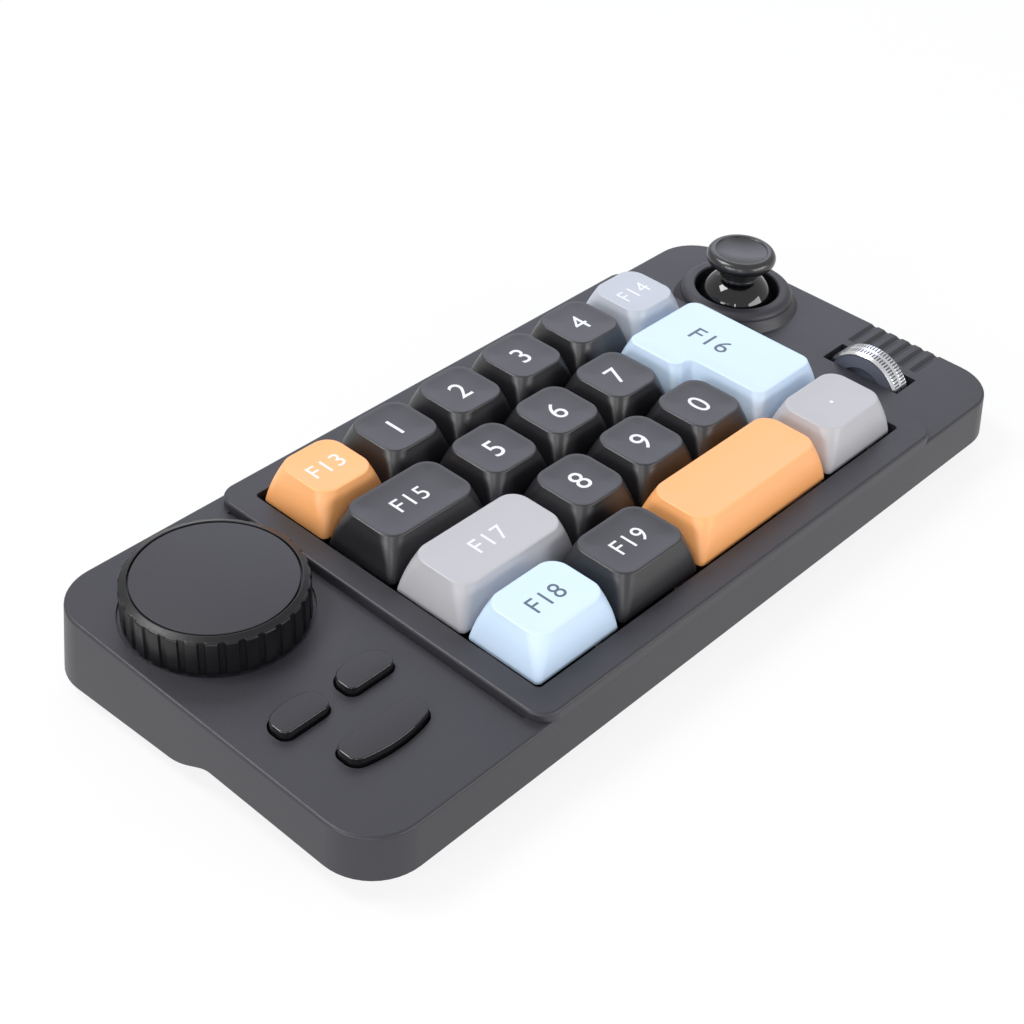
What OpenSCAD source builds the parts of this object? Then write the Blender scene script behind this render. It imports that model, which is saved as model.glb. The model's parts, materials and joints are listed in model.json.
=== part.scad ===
// Macro keypad with a dial, a thumbstick, a knurled roller and three push buttons.
//
// Everything is drawn in the key frame: X runs along the keypad, Y to its back and Z square to the
// keys. Its origin is the front left corner of the key grid, level with the keycaps' lower edges.
// placed() then tilts it all to the typing angle and stands it on the table.

/* [Key grid] */
// Distance between neighbouring keys
key_pitch = 19.05; // [19:0.01:19.1]
// Travel of a key
key_travel = 4; // [3:0.1:4]
// Gap between the key grid and the well around it
well_gap = 0.7; // [0.5:0.05:0.8]
// Corner radius of the well
well_r = 1; // [0.5:0.1:2]

/* [Keycaps] */
// Height of a keycap
cap_h = 9; // [8.6:0.1:9.6]
// Inset of a keycap's foot from its cell
cap_foot_inset = 0.45; // [0.4:0.05:0.6]
// Inset of a keycap's top from its cell
cap_top_inset = 2.38; // [2.1:0.02:2.6]
// Outward bulge of a keycap's sides
cap_bulge = 0.35; // [0:0.05:0.4]
// Corner radius at a keycap's foot
cap_foot_r = 1.2; // [0.9:0.1:1.6]
// Corner radius at a keycap's top
cap_top_r = 4; // [3:0.1:4]
// Radius of a keycap's inside corner at its foot
cap_inner_r = 0.7; // [0.5:0.05:0.75]
// Radius of a keycap's inside corner at its top
cap_inner_top_r = 1.8; // [1.2:0.1:1.9]
// Corner radius at the top of the keycap with an inside corner
cap_notched_r = 2.8; // [2.6:0.1:2.8]
// Rounding of a keycap's top edge
cap_edge = 0.3; // [0.25:0.05:0.5]
// Depth of the dish in a keycap's top
cap_dish = 0.35; // [0.2:0.05:0.5]
// Distance over which the dish falls
cap_dish_run = 5.2; // [4:0.1:5.4]
// Thickness of a keycap's walls
cap_wall = 1.4; // [1.2:0.1:1.5]
// Thickness of a keycap's roof
cap_roof = 2; // [1.8:0.1:2.2]

/* [Key switches] */
// Height of the switch plate's upper face
plate_top = -5.4; // [-5.5:0.1:-5.3]
// Thickness of the switch plate
plate_t = 1.5; // [1.4:0.05:1.6]
// Side of a square cut-out in the plate
cutout = 14; // [13.95:0.01:14.05]
// Side of the housing inside the cut-out
housing = 13.9; // [13.8:0.02:13.9]
// Side of the housing's flange on the plate
flange = 15.6; // [15:0.1:15.8]
// Thickness of the flange
flange_t = 1; // [0.8:0.1:1.1]
// Height of the housing's roof
housing_top = 1.2; // [1:0.1:1.3]
// Width of the housing's roof
roof_w = 11.6; // [11:0.1:12]
// Depth of the housing's roof
roof_d = 10.4; // [10:0.1:11]
// Width of the stem's block
stem_w = 7.2; // [7:0.05:7.4]
// Depth of the stem's block
stem_d = 5.7; // [5.6:0.05:5.9]
// Length of the stem's block below the roof
stem_l = 5.4; // [5:0.1:5.6]
// Width of the stem's cross
cross_w = 4; // [3.9:0.05:4.1]
// Thickness of the cross's arm along X
cross_t_x = 1.3; // [1.25:0.01:1.35]
// Thickness of the cross's arm along Y
cross_t_y = 1.1; // [1.05:0.01:1.2]
// Height of the cross
cross_h = 3.6; // [3.4:0.1:3.7]
// Radius of the keycap's post
post_r = 2.75; // [2.7:0.05:2.8]
// Radius of the pin under the housing
pin_r = 2; // [1.9:0.05:2]
// Radius of a contact leg under the housing
leg_r = 0.7; // [0.5:0.05:0.8]
// Length of pins and legs under the board's upper face
leg_l = 2.2; // [2:0.1:2.6]
// Grid on which a switch's contact legs stand
leg_grid = 1.27; // [1.25:0.01:1.29]

/* [Circuit board] */
// Height of the board's upper face
board_top = -10.4; // [-10.5:0.05:-10.4]
// Thickness of the board
board_t = 1.6; // [1.5:0.1:1.6]
// Inset of the board from the body's outline
board_inset = 4; // [3.95:0.05:4.2]

/* [Body] */
// Left side of the body
body_x0 = -48.3; // [-48.6:0.1:-48]
// Right side of the body
body_x1 = 148.6; // [148.3:0.1:148.9]
// Margin in front of the key grid
front_margin = 7.05; // [7:0.05:7.3]
// Margin behind the key grid
rear_margin = 7.4; // [7.3:0.05:7.6]
// Corner radius of the body
body_r = 11; // [10.5:0.1:11.5]
// Outward slope of the walls in degrees
wall_slope = 5.2; // [4.8:0.1:5.6]
// Thickness of the shell's walls
wall = 2.2; // [2:0.1:2.3]
// Height of the decks
deck_top = -1.1; // [-1.2:0.05:-1]
// Thickness of the decks
deck_t = 2; // [1.8:0.1:2]
// Rounding of the shell's upper edges
edge_round = 0.7; // [0.5:0.05:0.8]
// Height of the raised surround of the keys
surround_top = 1; // [0.8:0.05:1.1]
// Left side of the surround
surround_x0 = -6.2; // [-6.4:0.1:-6]
// Right side of the surround
surround_x1 = 120.6; // [120.4:0.1:120.8]
// Distance of the surround from the body's front side
surround_front = 0.05; // [0.05:0.05:0.2]
// Distance of the surround from the body's rear side
surround_back = 0.7; // [0.7:0.05:0.8]
// Corner radius of the surround
surround_r = 4.5; // [4:0.1:5]
// Width of the groove beside the surround
groove_w = 0.5; // [0.4:0.05:0.6]
// Depth of the groove beside the surround
groove_d = 0.4; // [0.3:0.05:0.6]
// Thickness of the skirt round the well
skirt_t = 2; // [1.8:0.1:2]
// Height of the walls' lower edge at the front
rim_z = -10.95; // [-11:0.05:-10.8]
// Height of the walls' lower edge over the table in the rear part
rim_rise = 3.65; // [3.5:0.05:3.8]
// Where the deep rear part of the body begins
step_y0 = 34; // [33.5:0.5:35]
// Where the rear part reaches its full depth
step_y1 = 46; // [45:0.5:47]
// Height of the pan's upper edge
pan_edge_z = -12.4; // [-12.6:0.1:-12.3]
// Height of the pan's lower face
pan_z = -15.3; // [-15.4:0.05:-15.3]
// Bevel of the pan's lower edge
pan_bevel = 1.8; // [1.6:0.1:2]
// Thickness of the floor
floor_t = 1.4; // [1.3:0.1:1.4]
// Height of the tray's lip
lip_top = -8.6; // [-9:0.1:-8.4]
// Width of the tray's lip
lip_t = 1.5; // [1.4:0.05:1.5]

/* [Stance] */
// Typing angle in degrees
type_angle = 3.5; // [3.4:0.1:3.6]
// Height of the key frame's origin over the table
seat_h = 16; // [15.95:0.05:16.2]
// Gap between the rear part and the table
foot_rise = 0.8; // [0.7:0.05:1]
// Radius of a rubber foot
foot_r = 5; // [4:0.5:5]
// Height of a rubber foot
foot_h = 1.3; // [1.25:0.05:1.4]
// Distance of the feet from the body's left side
foot_x = 18.3; // [18:0.5:20]
// Places of the front feet behind the grid's front
foot_front_y = 4.2; // [4:0.1:4.6]
// Places of the rear feet behind the grid's front
foot_rear_y = 70; // [69:0.5:71]

/* [Dial] */
// Centre of the dial along the body
dial_x = -26.7; // [-27:0.1:-26.4]
// Centre of the dial from the grid's front
dial_y = 57.7; // [57.4:0.1:58]
// Radius of the dial
dial_r = 18; // [17.8:0.1:18.2]
// Height of the dial's top
dial_top = 6.98; // [6.9:0.02:7.1]
// Height of the dial's lower edge
dial_foot = -1.3; // [-1.35:0.05:-1.25]
// Width of the sloping shoulder
dial_shoulder = 1.5; // [1.3:0.1:1.7]
// Drop of the sloping shoulder
dial_shoulder_drop = 0.7; // [0.5:0.05:0.9]
// Width of the dial's top outside its inlay
inlay_margin = 2.1; // [2:0.05:2.3]
// Thickness of the top inlay
inlay_t = 0.8; // [0.6:0.1:0.9]
// Groove round the inlay
inlay_gap = 0.35; // [0.2:0.05:0.4]
// Thickness of the dial's skirt
dial_wall = 1.6; // [1.4:0.1:1.8]
// Height of the dial's hollow
dial_hollow = 4.4; // [4.2:0.1:4.5]
// Number of grip grooves
dial_grooves = 30; // [24:1:36]
// Radius of a grip groove
dial_groove_r = 0.55; // [0.4:0.05:0.6]
// Gap between the dial and the shallow recess under it
recess_gap = 0.8; // [0.6:0.1:1]
// Depth of the recess
recess_d = 0.55; // [0.5:0.05:0.6]
// Side of the encoder's body
encoder_w = 12; // [11.5:0.1:12]
// Height of the encoder's body
encoder_h = 6.5; // [6:0.1:6.6]
// Radius of the encoder's bushing
bushing_r = 3.5; // [3.4:0.05:3.5]
// Height of the bushing's end
bushing_top = 1; // [0.6:0.1:1.1]
// Radius of the encoder's shaft
shaft_r = 3; // [2.95:0.05:3]
// Height of the shaft's end
shaft_top = 5.2; // [5:0.1:5.3]
// Height where the shaft's flat begins
shaft_flat = 1.6; // [1.5:0.1:2]
// Radius of the hub inside the dial
hub_r = 5; // [4.6:0.1:5.5]
// Depth of the shaft in the encoder
shaft_depth = 4.5; // [4:0.1:5]

/* [Push buttons] */
// Height of the buttons' tops
button_top = 0.75; // [0.7:0.05:0.9]
// Travel of a button
button_travel = 0.5; // [0.3:0.05:0.5]
// Gap between a button and its hole
button_gap = 0.45; // [0.35:0.05:0.5]
// Corner radius of a button
button_r = 1.8; // [1.6:0.1:2]
// Bevel of a button's top edge
button_bevel = 0.25; // [0.2:0.05:0.4]
// Row of the two small buttons
small_row_y = 25.75; // [25.5:0.05:26]
// Centre of the left button
left_button_x = -35.1; // [-35.3:0.1:-34.9]
// Centre of the right button
right_button_x = -19.25; // [-19.45:0.1:-19.05]
// Width of a small button
small_button_w = 11.4; // [11.2:0.1:11.6]
// Depth of a small button
small_button_d = 6.3; // [6.1:0.1:6.5]
// Bow of a small button's rear edge
small_bow = 1.3; // [1:0.1:1.4]
// Centre of the wide button along the body
wide_button_x = -26.95; // [-27.2:0.05:-26.7]
// Centre of the wide button from the grid's front
wide_button_y = 11.5; // [11.3:0.1:11.7]
// Width of the wide button
wide_button_w = 19; // [18.8:0.1:19.2]
// Depth of the wide button
wide_button_d = 6.8; // [6.6:0.1:7]
// Bow of the wide button's front edge
wide_bow = 1.6; // [1.4:0.1:1.7]
// Width of the flange that holds a button in
button_flange = 0.8; // [0.6:0.1:0.9]
// Thickness of the flange that holds a button in
button_flange_t = 0.8; // [0.7:0.1:1]
// Radius of a button's plunger
plunger_r = 1.75; // [1.6:0.05:1.75]
// Depth of the plunger in its switch
plunger_in = 0.9; // [0.8:0.05:1]
// Side of a button's switch
tact_w = 6; // [5.8:0.1:6.2]
// Height of a button's switch
tact_h = 3.5; // [3.4:0.1:3.6]

/* [Thumbstick] */
// Centre of the thumbstick along the body
stick_x = 132.56; // [132.4:0.02:132.7]
// Centre of the thumbstick from the grid's front
stick_y = 57.33; // [57.1:0.02:57.5]
// Height of the pivot
pivot_z = -2.2; // [-2.3:0.05:-2.1]
// Largest lean to each side in degrees
stick_lean = 20; // [15:1:20]
// Outer radius of the dome
dome_r = 9.3; // [9.1:0.05:9.4]
// Thickness of the dome
dome_t = 1.2; // [1:0.1:1.3]
// Half opening of the dome in degrees
dome_half = 80; // [78:1:82]
// Radius of the neck
neck_r = 4.5; // [4.3:0.1:4.6]
// Radius of the flange at the neck's foot
neck_flange_r = 4.8; // [4.6:0.1:5]
// Height where the neck meets the grip
grip_z = 8.8; // [8.6:0.1:9]
// Radius where the grip's underside begins to curve
grip_under_r = 5.4; // [5.2:0.1:5.6]
// Largest radius of the grip
grip_r = 8.15; // [8:0.05:8.3]
// Height of the grip's largest radius
grip_mid_z = 11; // [10.8:0.05:11.2]
// Height of the grip's rim
grip_top = 12.75; // [12.6:0.05:12.9]
// Radius of the grip's rim
grip_rim_r = 6.5; // [6.3:0.05:6.7]
// Width of the rounding inside the grip's rim
grip_lip = 0.6; // [0.5:0.05:0.7]
// Depth of the grip's dish
grip_dish = 1.1; // [0.8:0.05:1.3]
// Radius of the post inside the dome
stick_post_r = 2; // [1.8:0.1:2.1]
// Length of the post below the pivot
stick_post_l = 1.2; // [1:0.1:1.4]
// Inner radius of the gimbal ring
ring_in = 3.2; // [3.1:0.1:3.3]
// Outer radius of the gimbal ring
ring_out = 4.5; // [4.4:0.1:4.6]
// Height of the gimbal ring
ring_h = 2.4; // [2.2:0.1:2.5]
// Radius of the gimbal's pins
gimbal_pin_r = 0.6; // [0.5:0.05:0.65]
// Side of the module's base
module_w = 16; // [15.6:0.1:16.2]
// Gap between the module's base and the leaning dome
module_gap = 0.3; // [0.25:0.05:0.4]
// Depth of the hollow in the base
module_hollow = 3.6; // [3.4:0.1:4]
// Radius of the hollow in the base
module_hollow_r = 5.6; // [5.5:0.1:5.8]
// Inner distance of the cheeks from the pivot
cheek_x = 5; // [4.9:0.05:5.1]
// Thickness of a cheek
cheek_t = 2; // [1.8:0.1:2]
// Depth of a cheek
cheek_d = 4; // [3.6:0.1:4]
// Height of a cheek above the pivot
cheek_over = 1.3; // [1.2:0.1:1.4]
// Width of a sensor on the base's side
sensor_w = 9; // [8:0.5:9.5]
// Thickness of a sensor on the base's side
sensor_t = 2.4; // [2:0.1:2.5]
// Height of a sensor on the base's side
sensor_h = 5; // [4:0.5:5.5]
// Radius of the collar's foot
collar_foot_r = 14.8; // [14.6:0.1:15]
// Radius where the collar's side begins to curve
collar_r = 13.4; // [13.2:0.1:13.6]
// Radius of the collar's flat lip
collar_lip_r = 11.3; // [11.1:0.1:11.5]
// Height where the collar's side begins to curve
collar_mid_z = 1; // [0.8:0.1:1.2]
// Height of the collar's lip
collar_top = 2.9; // [2.8:0.05:3]
// Radius of the hole in the collar
collar_hole_r = 9.98; // [9.9:0.02:10.1]
// Rounding of the hole's edge
collar_hole_edge = 0.3; // [0.2:0.05:0.4]

/* [Roller] */
// Centre of the roller from the grid's front
roller_y = 18; // [17.95:0.05:18.1]
// Height of the roller's axis
roller_z = -6.09; // [-6.12:0.01:-6.05]
// Left face of the roller
roller_x = 128.85; // [128.75:0.05:128.95]
// Width of the roller
roller_w = 5.35; // [5.2:0.05:5.4]
// Radius of the roller
roller_r = 10.05; // [9.9:0.05:10.05]
// Thickness of the roller's rim
rim_t = 0.9; // [0.85:0.05:1]
// Bevel of the roller's rim
roller_bevel = 0.6; // [0.5:0.05:0.7]
// Width of the groove round the rim
rim_groove_w = 0.9; // [0.7:0.05:1]
// Depth of the groove round the rim
rim_groove_d = 0.35; // [0.2:0.05:0.4]
// Width of the wheel's faces round their recess
wheel_face = 2.95; // [2.8:0.05:3.1]
// Depth of the recess in the wheel's faces
wheel_recess_d = 0.8; // [0.6:0.1:1]
// Radius of the axle
axle_r = 1.2; // [1.1:0.05:1.3]
// Gap between the roller and the slot's left side
slot_left = 0.75; // [0.7:0.05:0.8]
// Gap between the roller and the slot's right side
slot_right = 1.7; // [1.6:0.05:1.8]
// Distance of the slot's front end inside the roller's radius
slot_front = 0.15; // [0.1:0.05:0.2]
// Distance of the slot's rear end outside the roller's radius
slot_back = 0.35; // [0.2:0.05:0.5]
// Gap between the roller and its pocket
pocket_gap = 0.3; // [0.25:0.05:0.35]
// Thickness of the pocket's wall
pocket_wall = 0.5; // [0.45:0.05:0.55]
// Width of the roller's encoder
roller_encoder_w = 4.3; // [4:0.1:4.4]
// Depth of the roller's encoder
roller_encoder_d = 10.3; // [10:0.1:11]
// Height of the roller's encoder
roller_encoder_h = 6.8; // [6.6:0.1:7]
// Thickness of the post at the axle's right end
axle_post_t = 2.2; // [2:0.1:2.4]
// Depth of the post at the axle's right end
axle_post_d = 5; // [4.6:0.1:5.4]

/* [Side grooves] */
// Number of grooves beside the roller
side_grooves = 6; // [5:1:6]
// Distance between two grooves
side_groove_pitch = 3.4; // [3.3:0.05:3.5]
// Radius of a groove's round floor
side_groove_r = 1; // [0.9:0.05:1.1]
// Depth of a groove
side_groove_d = 0.7; // [0.6:0.05:0.8]
// Left end of the grooves
side_groove_x = 138.3; // [138.1:0.1:138.5]
// Middle of the grooves from the grid's front
side_groove_y = 19.2; // [19:0.1:19.4]

/* [Socket] */
// Middle of the socket along the body
usb_x = 57.15; // [57:0.05:57.3]
// Width of the socket
usb_w = 8.94; // [8.9:0.02:9]
// Height of the socket
usb_h = 3.2; // [3.1:0.05:3.26]
// Length of the socket
usb_l = 7.4; // [7:0.1:7.6]
// Thickness of the socket's shell
usb_t = 0.3; // [0.25:0.05:0.35]
// Distance of the socket's mouth from the outer wall
usb_inset = 0.4; // [0.2:0.1:0.6]
// Gap between the socket and its hole
usb_gap = 0.35; // [0.3:0.05:0.5]

/* [Fastening] */
// Radius of a screw's shank
screw_r = 1.2; // [1.1:0.05:1.25]
// Radius of a screw's head
head_r = 2.1; // [2:0.1:2.2]
// Height of a screw's head
head_h = 1; // [0.9:0.1:1.1]
// Radius of a screw boss
boss_r = 2.75; // [2.6:0.05:2.8]
// Radius of a pillar under a boss
pillar_r = 4; // [3.8:0.1:4.2]
// Thickness of the floor under a screw's head
head_seat = 1.6; // [1.4:0.1:1.8]
// Distance of the outer screws from the body's sides
screw_inset = 9.2; // [9:0.1:9.4]
// Distance of the inner screws from the surround's sides
screw_inner = 0.45; // [0.4:0.05:0.5]
// Distance of the screws from the body's front and back
screw_margin = 8.2; // [8:0.1:8.4]

/* [Clearances] */
// Gap between the tray and the shell
case_gap = 0.15; // [0.1:0.05:0.2]
// Gap round a shaft, an axle or a gimbal pin
running_gap = 0.05; // [0.04:0.01:0.08]
// Gap between a stem and its slot
stem_gap = 0.1; // [0.08:0.01:0.12]
// Gap round a press-fitted cross or shaft
fit_gap = 0.03; // [0.02:0.01:0.05]
// Gap between a button's flange and the deck
flange_gap = 0.2; // [0.15:0.05:0.3]
// Gap round pins, screws and feet
loose_gap = 0.2; // [0.1:0.05:0.25]

/* [Hidden] */
$fn = 96;
hull_fn = 48;
over = 1;

charcoal = "#3a3b3e";
dark_cap = "#45464a";
light_grey = "#b9bab9";
ice_blue = "#c3d3dc";
bluish_grey = "#a9b4bd";
orange_cap = "#e98a4e";
switch_black = "#1c1c1f";
gloss_black = "#0d0e10";
steel = "#b8bbbf";
board_green = "#1e4b37";
stem_brown = "#7a4a2c";
rubber_black = "#202020";

U = key_pitch;
body_y0 = -front_margin;
body_y1 = 4 * U + rear_margin;
surround_y0 = body_y0 + surround_front;
surround_y1 = body_y1 - surround_back;
well = [-well_gap, -well_gap, 6 * U + well_gap, 4 * U + well_gap];
deck_under = deck_top - deck_t;
slope_z = deck_top - edge_round;
board_under = board_top - board_t;
tray_inset = wall + case_gap;
inner_inset = tray_inset + lip_t;
pan_floor = pan_z + floor_t;
usb_z = board_top + usb_h / 2;
usb_mouth = body_y1 + wall_grow(usb_z) - usb_inset;
wheel_r = roller_r - rim_t;
slot_x0 = roller_x - slot_left;
slot_x1 = roller_x + roller_w + slot_right;
slot_y0 = roller_y - roller_r + slot_front;
slot_y1 = roller_y + roller_r + slot_back;
inlay_r = dial_r - inlay_margin;
recess_r = dial_r + recess_gap;
screw_xs = [
    body_x0 + screw_inset, surround_x0 - screw_inner,
    surround_x1 + screw_inner, body_x1 - screw_inset
];
screw_ys = [body_y0 + screw_margin, body_y1 - screw_margin];
foot_xs = [body_x0 + foot_x, body_x1 - foot_x];
foot_ys = [foot_front_y, foot_rear_y];
post_xs = [0, 3 * U, 6 * U];

// The table, the walls' slope, a lower edge and the tray's floor, as heights in the key frame.
// A lower edge is level in front, falls in a curve and then runs along the table at a rise over it.
function table_z(y) = -seat_h - y * tan(type_angle);
function wall_grow(z) = (slope_z - z) * tan(wall_slope);
function rear_z(y, rise) = table_z(y) + rise / cos(type_angle);
function ease(t) = (1 - cos(180 * pow(t, 0.8))) / 2;
function edge_z(y, front, rise) =
    y < step_y0 ? front
    : y > step_y1 ? rear_z(y, rise)
    : front + (rear_z(step_y1, rise) - front) * ease((y - step_y0) / (step_y1 - step_y0));
function floor_z(y) = min(pan_z, edge_z(y, pan_edge_z, foot_rise)) + floor_t;
step_ys = [for (i = [0:12]) step_y0 + (step_y1 - step_y0) * i / 12];
lowest_z = rear_z(body_y1 + over, 0);

// The tilted body's extents, which set the origin below the middle of its box
lift = seat_h * cos(type_angle);
front_reach = (body_y0 - wall_grow(rim_z)) * cos(type_angle) - rim_z * sin(type_angle);
rim_back_y = (body_y1 + wall_grow(rear_z(0, rim_rise))) / (1 - tan(wall_slope) * tan(type_angle));
rear_reach = rim_back_y * cos(type_angle) - rear_z(rim_back_y, rim_rise) * sin(type_angle);
mid_x = (body_x0 + body_x1) / 2;
mid_y = (front_reach + rear_reach) / 2;

// Keys: name, cells as [x, y, width, depth] in key units, middle of the switch, colour
function key(name, x, y, w, colour) = [name, [[x, y, w, 1]], [x + w / 2, y + 0.5], colour];
KEYS = [
    key("back_1", 0, 3, 1, orange_cap),
    key("back_2", 1, 3, 1, dark_cap),
    key("back_3", 2, 3, 1, dark_cap),
    key("back_4", 3, 3, 1, dark_cap),
    key("back_5", 4, 3, 1, dark_cap),
    key("back_6", 5, 3, 1, bluish_grey),
    key("upper_1", 0, 2, 1.5, dark_cap),
    key("upper_2", 1.5, 2, 1, dark_cap),
    key("upper_3", 2.5, 2, 1, dark_cap),
    key("upper_4", 3.5, 2, 1, dark_cap),
    key("lower_1", 0, 1, 1.75, light_grey),
    key("lower_2", 1.75, 1, 1, dark_cap),
    key("lower_3", 2.75, 1, 1, dark_cap),
    key("lower_4", 3.75, 1, 1, dark_cap),
    key("front_1", 0, 0, 1.25, ice_blue),
    key("front_2", 1.25, 0, 1.25, dark_cap),
    key("front_3", 2.5, 0, 2.25, orange_cap),
    key("front_4", 4.75, 0, 1.25, light_grey),
    ["corner", [[4.5, 2, 1.5, 1], [4.75, 1, 1.25, 2]], [5.375, 2], ice_blue]
];
function keycap_node(k) = str("keycap_", k[0]);
function stem_node(k) = str("stem_", k[0]);

// ---- Shared shapes ----

// Tilts the key frame to the typing angle and stands it on the table
module placed() {
    translate([-mid_x, -mid_y, lift]) rotate([type_angle, 0, 0]) children();
}

// Moves to the middle of a key's switch
module at_switch(k) {
    translate([k[2].x * U, k[2].y * U, 0]) children();
}

// Extrudes a [y, z] outline along X
module along_x(x0, x1) {
    translate([x0, 0, 0]) rotate([90, 0, 90]) linear_extrude(x1 - x0) children();
}

// Extrudes an [x, z] outline along Y
module along_y(y0, y1) {
    translate([0, y1, 0]) rotate([90, 0, 0]) linear_extrude(y1 - y0) children();
}

module between(z0, z1) {
    translate([0, 0, z0]) linear_extrude(z1 - z0) children();
}

module rounded(x0, y0, x1, y1, r) {
    translate([x0 + r, y0]) square([x1 - x0 - 2 * r, y1 - y0]);
    translate([x0, y0 + r]) square([x1 - x0, y1 - y0 - 2 * r]);
    for (x = [x0 + r, x1 - r], y = [y0 + r, y1 - r]) translate([x, y]) circle(r);
}

module body_outline(inset) {
    rounded(body_x0 + inset, body_y0 + inset, body_x1 - inset, body_y1 - inset, body_r - inset);
}

// A solid through closed rings of points, each counter-clockwise, from the lowest to the highest
module loft(rings) {
    n = len(rings[0]);
    last = len(rings) - 1;
    polyhedron(
        points = [for (r = rings) each r],
        faces = concat(
            [[for (i = [0:n - 1]) i]],
            [for (j = [0:last - 1], i = [0:n - 1], half = [0, 1])
                let (a = j * n + i, b = j * n + (i + 1) % n)
                half == 0 ? [a, a + n, b + n] : [a, b + n, b]],
            [[for (i = [n - 1:-1:0]) last * n + i]]
        ),
        convexity = 4
    );
}

// A slab with rounded corners and a rounded upper edge, its walls sloping out down to its foot
module block(x0, y0, x1, y1, r, z_top, z_foot, grow) {
    corners = [[x1 - r, y1 - r, 0], [x0 + r, y1 - r, 90], [x0 + r, y0 + r, 180], [x1 - r, y0 + r, 270]];
    ring = function (z, inset) [
        for (c = corners, a = [c[2]:7.5:c[2] + 90])
            [c[0] + (r - inset) * cos(a), c[1] + (r - inset) * sin(a), z]
    ];
    loft(concat(
        [ring(z_foot, -grow)],
        [for (a = [0:22.5:90]) ring(z_top - edge_round * (1 - sin(a)), edge_round * (1 - cos(a)))]
    ));
}

// Everything above a lower edge
module above_edge(front, rise) {
    end = body_y1 + 3 * over;
    along_x(body_x0 - 3 * over, body_x1 + 3 * over)
        polygon(concat(
            [[body_y0 - 3 * over, front]],
            [for (y = step_ys) [y, edge_z(y, front, rise)]],
            [[end, rear_z(end, rise)], [end, cap_h], [body_y0 - 3 * over, cap_h]]
        ));
}

// Everything above the tray's floor
module above_floor() {
    along_x(body_x0, body_x1)
        polygon(concat(
            [[body_y0, pan_floor]],
            [for (y = step_ys) [y, floor_z(y)]],
            [[body_y1, floor_z(body_y1)], [body_y1, lip_top + over], [body_y0, lip_top + over]]
        ));
}

module at_screws() {
    for (x = screw_xs, y = screw_ys) translate([x, y, 0]) children();
}

// ---- Keys ----

// Outline of a key's cells in millimetres, counter-clockwise
function key_path(k) = len(k[1]) == 1
    ? let (c = k[1][0]) U * [
        [c[0], c[1]], [c[0] + c[2], c[1]], [c[0] + c[2], c[1] + c[3]], [c[0], c[1] + c[3]]
    ]
    : let (a = k[1][0], b = k[1][1]) U * [
        [b[0], b[1]], [b[0] + b[2], b[1]], [b[0] + b[2], b[1] + b[3]],
        [a[0], a[1] + a[3]], [a[0], a[1]], [b[0], a[1]]
    ];

// One ring of a keycap: the path inset by a distance, its corners rounded
corner_steps = 3;
function unit(v) = v / norm(v);
function left_of(v) = [-v.y, v.x];
function ring(path, inset, r, z) = [
    for (i = [0:len(path) - 1])
        let (
            p = path[i],
            before = left_of(unit(p - path[(i + len(path) - 1) % len(path)])),
            after = left_of(unit(path[(i + 1) % len(path)] - p)),
            turn = cross(before, after) > 0 ? 1 : -1,
            corner_r = turn > 0 ? r : cap_inner_r + (cap_inner_top_r - cap_inner_r) * z / cap_h,
            middle = p + (inset + turn * corner_r) * (before + after)
        )
        for (s = [0:corner_steps])
            let (
                a = 90 * s / corner_steps,
                q = middle - turn * corner_r * (before * cos(a) + after * sin(a))
            )
            [q.x, q.y, z]
];

function cap_inset(s) = cap_foot_inset + (cap_top_inset - cap_foot_inset) * s - 4 * cap_bulge * s * (1 - s);
function dish_z(run) = cap_h - cap_dish * (1 - pow(1 - run / cap_dish_run, 2));
cap_side_steps = [0, 1 / 3, 2 / 3, 1 - cap_edge / cap_h];
cap_dish_runs = [0.23, 0.58, 1] * cap_dish_run;

module cap_outside(path) {
    top_r = len(path) > 4 ? cap_notched_r : cap_top_r;
    inset = cap_top_inset + cap_edge;
    loft(concat(
        [for (s = cap_side_steps)
            ring(path, cap_inset(s), cap_foot_r + (top_r - cap_foot_r) * s, s * cap_h)],
        [ring(path, inset, top_r - cap_edge, cap_h)],
        [for (run = cap_dish_runs)
            ring(path, inset + run, max(top_r - cap_edge - run, cap_foot_r / 2), dish_z(run))]
    ));
}

// The hollow under one rectangular cell of a keycap
module cap_hollow(cell) {
    x0 = cell[0] * U;
    x1 = x0 + cell[2] * U;
    y0 = cell[1] * U;
    y1 = y0 + cell[3] * U;
    roof = cap_h - cap_roof;
    low = cap_inset(0) + cap_wall;
    high = cap_inset(roof / cap_h) + cap_wall;
    intersection() {
        along_y(y0, y1)
            polygon([[x0 + low, -over], [x0 + low, 0], [x0 + high, roof],
                [x1 - high, roof], [x1 - low, 0], [x1 - low, -over]]);
        along_x(x0, x1)
            polygon([[y0 + low, -over], [y0 + low, 0], [y0 + high, roof],
                [y1 - high, roof], [y1 - low, 0], [y1 - low, -over]]);
    }
}

// The cross on a stem, or the socket that it presses into
module cross_shape(z0, z1, gap) {
    between(z0, z1) {
        square([cross_w + 2 * gap, cross_t_x + 2 * gap], center = true);
        square([cross_t_y + 2 * gap, cross_w + 2 * gap], center = true);
    }
}

module keycap(k) {
    color(k[3]) placed() {
        difference() {
            union() {
                difference() {
                    cap_outside(key_path(k));
                    for (cell = k[1]) cap_hollow(cell);
                }
                at_switch(k)
                    translate([0, 0, housing_top])
                        cylinder(r = post_r, h = cap_h - cap_roof - housing_top + 0.5);
            }
            at_switch(k) cross_shape(housing_top - over, housing_top + cross_h + loose_gap, fit_gap);
        }
    }
}

module stem(k) {
    color(stem_brown) placed() at_switch(k) {
        translate([0, 0, housing_top - stem_l / 2]) cube([stem_w, stem_d, stem_l], center = true);
        cross_shape(housing_top - over, housing_top + cross_h, 0);
    }
}

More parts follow.
